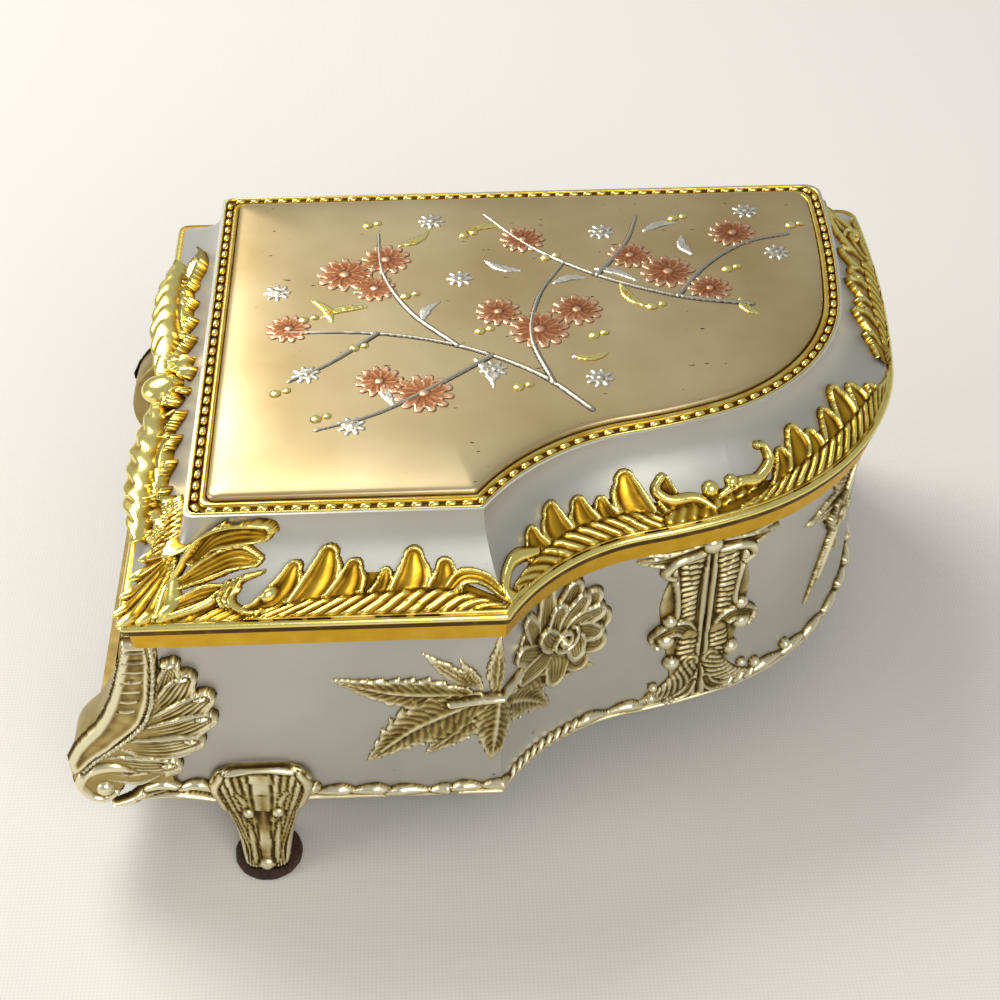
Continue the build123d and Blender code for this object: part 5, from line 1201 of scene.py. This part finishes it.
def aprons():
    """The scalloped edging under the walls, a piece for each wall."""
    foot = WALL_FOOT + 0.7

    def string(name, node, first, last, places):
        carving = Carving((first, last), (WALL_FOOT - 0.9, WALL_FOOT + 8))
        carving.stroke([(first + 1, foot - 0.9), ((first + last) / 2, foot - 0.9), (last - 1, foot - 0.9)],
                       (0.5, 0.45, 0.5), rolled(0.9, 0.9, 0.9))
        pods(carving, places, foot)
        cast_on_case(carving, name, node)

    front = [("berry", 22.4, 24.0, 1.4), ("pod", 30, 23.5, 0.5), ("pod", 36, 29.6, 0.4),
             ("pod", 35.8, 43.0, -0.1), ("pod", 47.5, 43.4, -0.2), ("pod", 47.2, 52.8, 0.4),
             ("pod", 57.6, 52.4, 0.6)]
    string("apron_relief_front", "apron_front", 21, 58, front)
    bent = [("rope", 58.4, 76, 0.3), ("pod", 76, 82, 0.3), ("pod", 88.6, 82.4, 0.3),
            ("berry", 89.6, 91.4, 1.4), ("rope", 105, 112, 0.4), ("pod", 112, 119, 0.6),
            ("berry", 111, 112.8, 2.4), ("pod", 119.4, 126, 0.6), ("berry", 118.6, 120.6, 2.4),
            ("pod", 126, 132.4, 0.4)]
    string("apron_relief_bentside", "apron_bentside", 56, 133, bent)
    tail = [("pod", 134 + 7 * i, 140.6 + 7 * i, 0.3) for i in range(9)]
    tail += [("berry", 139.6 + 7 * i, 141.4 + 7 * i, 1.4) for i in range(8)]
    string("apron_relief_tail", "apron_tail", 133, 199, tail)
    first = SPINE_U + 4
    spine = [("pod", first + 7 * i, first + 6.6 + 7 * i, 0.2) for i in range(14)]
    spine += [("berry", first + 5.9 + 7 * i, first + 7.7 + 7 * i, 1.2) for i in range(13)]
    string("apron_relief_spine", "apron_spine", SPINE_U, SPINE_U + 104, spine)


rose_spray()
pillar()
tail_and_spine_sprays()
aprons()


# Arms at the keyboard's ends: ARM is the arm's outline and BEAD_LINE the corded line down its face,
# both as X and Z

ARM = [(-6.8, 54.1), (-11.5, 54.1), (-12.5, 49.6), (-13.9, 44.6), (-15.5, 39.8), (-17.1, 36.4),
       (-18.8, 33.6), (-21.0, 31.2), (-23.0, 28.6), (-24.2, 25.4), (-24.8, 22.0), (-24.6, 19.0),
       (-23.7, 16.4), (-22.1, 14.7), (-20.2, 14.2), (-18.2, 15.0), (-16.8, 16.8), (-15.6, 18.2),
       (-12.6, 18.3), (-7.0, 18.6)]
BEAD_LINE = [(-7.1, 53.6), (-7.3, 48.3), (-7.9, 43.8), (-8.8, 39.1), (-10.6, 34.6), (-13.1, 31.6),
             (-16.2, 28.6), (-19.6, 25.8), (-22.6, 22.6)]


def arm_block(name, near_y, far_y):
    """The arm's solid between two places in Y, with rounded edges front and back."""
    outline_points = smooth_line(ARM, 0.7)
    centre = outline_points.mean(0)
    inward = centre - outline_points
    inward /= np.hypot(*inward.T)[:, None]
    rings = []
    for depth, inset in ((0.0, 0.7), (0.1, 0.25), (0.5, 0.0), (0.95, 0.0), (0.99, 0.25), (1.0, 0.7)):
        ring = outline_points + inward * inset
        y = near_y + (far_y - near_y) * depth
        rings.append(np.stack([ring[:, 0], np.full(len(ring), y), ring[:, 1]], 1))
    settle(ring_form(name, rings, case_gilt_plain), "case", "antique_gilt")


def arm_panel(gap, u, v):
    """The arm's face between its outline and the corded line: a dished panel inside a raised rim."""
    return 1.15 + 0.45 * np.exp(-((gap - 0.9) / 0.5) ** 2) + 0.05 * np.minimum(gap, 3)


def cheek(name, surface, node):
    """The carved face of an arm: rungs, a corded line, acanthus lobes and a scroll."""
    carving = Carving((-26, 2.5), (13, 54.4))
    carving.fill([(-6.6, 54.1)] + BEAD_LINE[1:] + [(-24.4, 22.0), (-24.6, 25.4)] + ARM[8:0:-1], arm_panel)
    for i in range(7):
        z = 52.2 - 2.35 * i
        x = -9.6 - 0.34 * i - 0.03 * i * i
        carving.stroke([(x - 1.9 + 0.1 * i, z), (x + 1.7 - 0.12 * i, z)], (0.32, 0.36, 0.32),
                       rolled(1.7, 1.9, 1.7))
    acanthus = (((-4.0, 48.8), (-9.0, 38.5), 1.7), ((-2.2, 45.4), (-9.4, 36.5), 2.5),
                ((0.2, 40.4), (-11, 33.5), 2.7), ((0.1, 35.4), (-13, 31.4), 2.7),
                ((-2.4, 29.8), (-16, 28.8), 2.5), ((-7.0, 23.6), (-19.4, 25.4), 2.5))
    for tip, root, width in acanthus:
        middle = ((tip[0] + root[0]) / 2 + 0.4, (tip[1] + root[1]) / 2 - 1.0)
        carving.stroke([root, middle, tip], (0.6, width * 0.9, width * 1.12, width * 1.1, width * 0.7),
                       cupped(1.2, 1.5, 1.8, 2.0, floor=0.7, veins=3.5))
        carving.stroke([(tip[0] - 1.6, tip[1] + 0.1), (tip[0], tip[1] + 0.2)], (0.6, 0.8, 0.5),
                       rolled(1.8, 2.1, 1.9))
    scroll = [(-13.4, 22.0), (-17.6, 23.6), (-21.6, 22.4), (-23.4, 19.0), (-22.0, 15.9), (-19.6, 15.2),
              (-17.6, 16.8)]
    carving.stroke(scroll, (0.6, 1.4, 1.5, 1.3, 1.1, 1.0, 0.8), rolled(1.2, 1.8, 1.9, 1.9, 1.8, 1.8, 1.7))
    carving.boss((-19.4, 18.0), 1.7, 2.2)
    carving.stroke([(-18.0, 20.6), (-13.6, 20.2), (-9.0, 21.6)], (0.8, 1.6, 0.5),
                   cupped(1.2, 1.5, 1.2, floor=0.6))
    arm_pods = (([(-18.6, 12.9), (-15.0, 14.2), (-12.0, 16.4), (-8.6, 17.2)], (0.4, 0.9, 1.1, 0.6)),
                ([(-12.4, 16.8), (-9.4, 18.0), (-5.9, 16.8)], (0.7, 1.2, 0.6)),
                ([(-6.6, 16.6), (-3.4, 17.6), (0.2, 15.8)], (0.7, 1.2, 0.5)),
                ([(-14.0, 14.6), (-7.6, 15.4), (-0.6, 13.6)], (0.4, 0.8, 0.5)))
    for points, widths in arm_pods:
        carving.stroke(points, widths, rolled(1.2, 1.7, 1.4))
    carving.stroke(BEAD_LINE, (0.75, 0.8, 0.8, 0.6), rolled(1.5, 1.6, 1.6, 1.6))
    carving.stroke(BEAD_LINE, (0.42, 0.45, 0.45, 0.3),
                   ribbed(1.9, 2.0, 2.0, 1.9, pitch=1.0, lean=0.0, depth=0.3))
    piece = cast_on_case(carving, name, node, surface)
    if surface is on_back_cheek:
        piece.data.flip_normals()


cheek("cheek_relief_front", on_front_cheek, "cheek_front")
cheek("cheek_relief_back", on_back_cheek, "cheek_back")
arm_block("cheek_arm_front", CHEEK_FRONT, CHEEK_FRONT + CHEEK_THICKNESS)
arm_block("cheek_arm_back", CASE_DEPTH - CHEEK_FRONT, CASE_DEPTH - CHEEK_FRONT - CHEEK_THICKNESS)


# Feet: widths, fronts and backs at levels up the foot; above the foot of the wall the back is tucked in

FOOT_LEVELS = (1.3, 3, 6, 9, 12, 14.5, 17, 19.5, 21.5, 22.3)
FOOT_WIDTHS = (7.6, 8.4, 9.4, 11.0, 13.6, 16.4, 18.2, 17.6, 15.0, 11.0)
FOOT_FRONTS = (-8.9, -8.3, -7.1, -6.0, -5.1, -4.5, -4.1, -3.7, -3.2, -2.9)
FOOT_BACKS = (-4.1, -3.6, -1.0, 1.2, 3.0, 3.3, 3.3, 3.3, 3.3, 3.3)
FOOT_TUCK = -1.75
FOOT_SQUARENESS = 0.62
FOOT_RELIEF = 0.62
FOOT_SIDE_RIDGE = 0.55
FOOT_TOP = 22.3
TAIL_FOOT_TOP = 13.8


def foot_carving():
    """Hair-like strokes, two bosses, a tongue and rolled sides, over the front of a foot."""
    carving = Carving((-10, 10), (0, 23))
    for i in range(-6, 7):
        lean = 0.62 * i
        carving.stroke([(lean * 2.4, 21.4), (lean * 1.7, 14), (lean * 0.85, 6), (lean * 0.8, 2)],
                       (0.72, 0.6, 0.4, 0.3), rolled(0.8 + 0.14 * (i % 3), 0.75, 0.6))
    for way in (-1, 1):
        carving.stroke([(way * 6.8, 20.6), (way * 8.0, 17.2), (way * 6.2, 12.0), (way * 4.5, 7.0),
                        (way * 3.6, 2.4)], (0.8, 0.9, 0.7, 0.6, 0.5), rolled(0.9, 1.0, 0.9, 0.8, 0.8))
        carving.stroke([(way * 4.4, 17.0), (way * 3.2, 14.8), (way * 3.6, 12.6)], (0.6, 0.8, 0.5),
                       rolled(0.8, 1.0, 0.7))
        carving.boss((way * 2.6, 12.6), 1.0, 1.5)
        carving.stroke([(way * 2.7, 10.6), (way * 2.2, 7.2), (way * 1.9, 3.0)], (0.5, 0.8, 0.5),
                       rolled(0.7, 0.9, 0.7))
    carving.stroke([(0, 16.0), (0, 9.5), (0, 5.2), (0, 3.0)], (0.7, 1.0, 1.3, 0.8),
                   ribbed(0.7, 0.9, 1.1, 1.1, pitch=9))
    carving.boss((0, 2.6), 1.3, 1.4)
    carving.stroke([(-5.6, 21.2), (0, 22.2), (5.6, 21.2)], (0.6, 0.8, 0.6), rolled(1.1, 1.4, 1.1))
    return carving


def foot(name, node, carving, top, stand):
    """A splayed shell foot as a closed form; stand turns its own millimetres into the plan's."""
    turn = 2 * pi * np.arange(160) / 160
    rings, ridge = [], []
    raised = carving.ridges()
    for z in np.arange(FOOT_LEVELS[0], top + 0.01, 0.25):
        half = np.interp(z, FOOT_LEVELS, FOOT_WIDTHS) / 2
        front, back = np.interp(z, FOOT_LEVELS, FOOT_FRONTS), np.interp(z, FOOT_LEVELS, FOOT_BACKS)
        if z > WALL_FOOT:
            back = FOOT_TUCK
        c, s = np.cos(turn), np.sin(turn)
        x = half * np.sign(c) * np.abs(c) ** FOOT_SQUARENESS
        round_over = np.sign(s) * np.abs(s) ** FOOT_SQUARENESS
        y = (front + back) / 2 - round_over * (back - front) / 2
        facing = np.clip(s * 1.6, 0, 1)
        h = carving.height_at(x, np.full_like(x, z))
        y = y - FOOT_RELIEF * h * facing
        rings.append(stand(np.stack([x, y, np.full_like(x, z)], 1)))
        i = np.clip(np.round((x - carving.us[0]) / CELL).astype(int), 0, len(carving.us) - 1)
        j = min(int(round((z - carving.vs[0]) / CELL)), len(carving.vs) - 1)
        ridge.append(raised[i, j] * facing + FOOT_SIDE_RIDGE * (1 - facing))
    piece = ring_form(name, rings, case_gilt)
    mark(piece, np.stack(ridge, 1).ravel())
    settle(piece, "case", "antique_gilt", node)


def at_front(p):
    """A foot's own millimetres set at the front left corner."""
    return p + (FOOT_PLACE, FOOT_Y, 0)


def at_back(p):
    """The same, mirrored to the back left corner."""
    return p * (1, -1, 1) + (FOOT_PLACE, CASE_DEPTH - FOOT_Y, 0)


def at_tail(p):
    """The same, turned to splay towards the tail."""
    return np.stack([TAIL_FOOT[0] - p[:, 1], TAIL_FOOT[1] + p[:, 0], p[:, 2]], 1)


shell_foot = foot_carving()
foot("shell_foot_front", "foot_front", shell_foot, FOOT_TOP, at_front)
foot("shell_foot_back", "foot_back", shell_foot, FOOT_TOP, at_back)
foot("shell_foot_tail", "foot_tail", shell_foot, TAIL_FOOT_TOP, at_tail)


# Felt and velvet


def ring_pad(name, rings, finish, body, slot, node):
    """A closed pad through rings of points."""
    piece = settle(ring_form(name, rings, finish), body, slot, node)


def felt_pad(name, x, y):
    """A cut felt disc, pressed a little under the foot."""
    turn = 2 * pi * np.arange(72) / 72
    fray = 1 + 0.006 * np.sin(13 * turn) + 0.005 * np.sin(29 * turn + 1)
    rings = [np.stack([x + r * fray * np.cos(turn), y + r * fray * np.sin(turn), np.full(72, z)], 1)
             for r, z in ((5.4, 0.0), (5.95, 0.12), (PAD_RADIUS, 0.5), (5.96, 1.0), (5.7, 1.28), (5.2, 1.3),
                          (4.6, 1.3))]
    ring_pad(name, rings, felt, "case", "felt", "felt_pads")


felt_pad("felt_pad_front", FOOT_PLACE, FOOT_Y - PAD_SPLAY)
felt_pad("felt_pad_back", FOOT_PLACE, CASE_DEPTH - FOOT_Y + PAD_SPLAY)
felt_pad("felt_pad_tail", TAIL_FOOT[0] + PAD_SPLAY, TAIL_FOOT[1])

# Jewel well: where its lining ends beside the partition, and the offset of its walls
WELL_END = 61.7
WELL_ROOM = 5.7


def lid_pad():
    """The velvet board inside the lid: a low crowned pad with a turned edge."""
    rings = [plan_ring(ring_u[::-1], offset, z)
             for offset, z in ((5.0, 59.85), (5.8, 59.8), (5.9, 59.3), (5.8, 58.7), (5.2, 58.35), (3.6, 58.2),
                               (1.0, 58.08), (-3.5, 58.0), (-8.5, 57.96), (-10.0, 57.96))]
    ring_pad("velvet_lid_pad", rings, velvet, "lid", "velvet", "lid_lining")


def well_loop(offset, count=420):
    """The well's plan at an offset, closed by the partition side, as evenly spaced points."""
    end = WELL_END - (WELL_ROOM - offset)
    u = np.arange(SPINE_U, SPINE_U + PERIMETER, 0.4)
    points = plan_at(u, offset)
    points = points[(points[:, 0] < end) | ((u > SPINE_END_U) & (u < PERIMETER))]
    back, front = points[0], points[-1]
    points = np.concatenate([[(end, back[1])], points, [(end, front[1])]])
    closed = np.concatenate([points, points[:1]])
    lengths = np.concatenate([[0], np.cumsum(np.hypot(*np.diff(closed, axis=0).T))])
    at = np.linspace(0, lengths[-1], count, endpoint=False)
    return np.stack([np.interp(at, lengths, closed[:, 0]), np.interp(at, lengths, closed[:, 1])], 1)


def well_ring(offset, z):
    """The well's plan at an offset and a level."""
    loop = well_loop(offset)
    return np.concatenate([loop, np.full((len(loop), 1), z)], 1)


def well_pads():
    """The velvet of the jewel well: a lining with a rolled top edge, and a crowned floor."""
    rings = [well_ring(offset, z) for offset, z in
             ((5.65, 22.45), (5.65, 40.0), (5.65, 55.9), (5.4, 56.4), (4.9, 56.6), (4.4, 56.4), (4.1, 55.6),
              (4.15, 54.6), (4.25, 50.0), (4.1, 39.0), (4.25, 28.0), (4.3, 22.45))]
    faces = grid_faces(len(rings[0]), len(rings), tube=True)
    lining = mesh_piece("velvet_well_lining", np.stack(rings, 1).reshape(-1, 3), faces, velvet, closed=True)
    settle(lining, "case", "velvet", "well_lining")
    rings = [well_ring(offset, z) for offset, z in
             ((5.0, 20.42), (5.6, 20.5), (5.65, 21.2), (5.5, 21.7), (4.6, 21.95), (2.0, 22.15), (-2.0, 22.3),
              (-8.0, 22.36), (-9.5, 22.36))]
    ring_pad("velvet_well_floor", rings, velvet, "case", "velvet", "well_floor")


lid_pad()
well_pads()


# Finishes of the CAD pieces that stay

finishes = {
    "case_shell": silver, "lid_shell": silver, "gilt_ledge": ledge_gilt_painted_light,
    "keyslip": key_gilt, "keyboard": key_gilt, "partition": board, "movement_cover": clear_plastic,
    "bedplate": cast_zinc, "spring_barrel": cast_zinc,
}
steel_nodes = ("comb", "mainspring", "hinge_pin", "base_screws", "movement_screws", "comb_screws", "stop_rod",
               "fan_spindle", "base_plate", "winding_arbor", "governor_frame", "barrel_bridge", "winding_key")
for name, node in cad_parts.items():
    finish = finishes.get(name, steel if name in steel_nodes else brass)
    for material_slot in node.material_slots:
        material_slot.material = finish


# Studio


def lamp(name, place, target, size, power):
    """A square soft lamp that faces a target, in metres."""
    data = bpy.data.lights.new(name, "AREA")
    data.size = size
    data.energy = power
    light = bpy.data.objects.new(name, data)
    bpy.context.scene.collection.objects.link(light)
    light.location = place
    aim = np.array(target) - np.array(place)
    light.rotation_euler = (atan2(hypot(aim[0], aim[1]), -aim[2]), 0, atan2(-aim[0], aim[1]))


def studio():
    """A pale woven cotton cloth, three soft lamps and an even pale surround."""
    floor_material, tree, shader = start_material("woven_cotton", Roughness=0.9)
    place = add(tree, "TexCoord").outputs["Object"]
    # Threads 0.7 mm apart, about twice as coarse as real ones so that they show; the wave node
    # draws a band every 0.314 of a unit at scale 1
    thread = 0.314 * per_metre(0.7)
    weave = add(tree, "TexWave", {"Vector": place, "Scale": thread, "Distortion": 0.4})
    across = add(tree, "TexWave", {"Vector": place, "Scale": thread, "Distortion": 0.4}, bands_direction="Y")
    cloth = add(tree, "Math", {0: weave.outputs["Fac"], 1: across.outputs["Fac"]}, operation="ADD")
    tone = add(tree, "ValToRGB", {"Fac": cloth.outputs["Value"]}, stops=((0.0, "#D6D0C6"), (1.0, "#DED9D0")))
    tree.links.new(tone.outputs["Color"], shader.inputs["Base Color"])
    bumped(tree, shader, cloth.outputs["Value"], 0.2, 0.05)
    mesh = bpy.data.meshes.new("floor")
    mesh.from_pydata([(-3, -3, 0), (3, -3, 0), (3, 3, 0), (-3, 3, 0)], [], [(0, 1, 2, 3)])
    mesh.materials.append(floor_material)
    floor = bpy.data.objects.new("floor", mesh)
    bpy.context.scene.collection.objects.link(floor)
    lamp("key_lamp", (-0.35, 0.45, 0.75), (0, 0, 0.03), 0.45, 6.0)
    lamp("front_lamp", (0.25, -0.75, 0.6), (0, 0, 0.03), 0.6, 4.0)
    lamp("left_lamp", (-0.8, -0.2, 0.35), (0, 0, 0.03), 0.4, 2.2)
    world = bpy.data.worlds.new("studio")
    bpy.context.scene.world = world
    world.use_nodes = True
    background = world.node_tree.nodes["Background"]
    background.inputs["Color"].default_value = linear("#E9EAEC")
    background.inputs["Strength"].default_value = 0.5


def camera():
    """The photograph's view, worked out from the beaded edge and the case corners."""
    data = bpy.data.cameras.new("camera")
    data.sensor_width = 36.0
    data.lens = 64.1
    eye = bpy.data.objects.new("camera", data)
    bpy.context.scene.collection.objects.link(eye)
    eye.location = to_row((40.6, -206.9, 263.2))
    eye.rotation_euler = (radians(47.72), 0, radians(-2.5))
    bpy.context.scene.camera = eye


studio()
camera()
bpy.context.scene.view_settings.view_transform = "Standard"
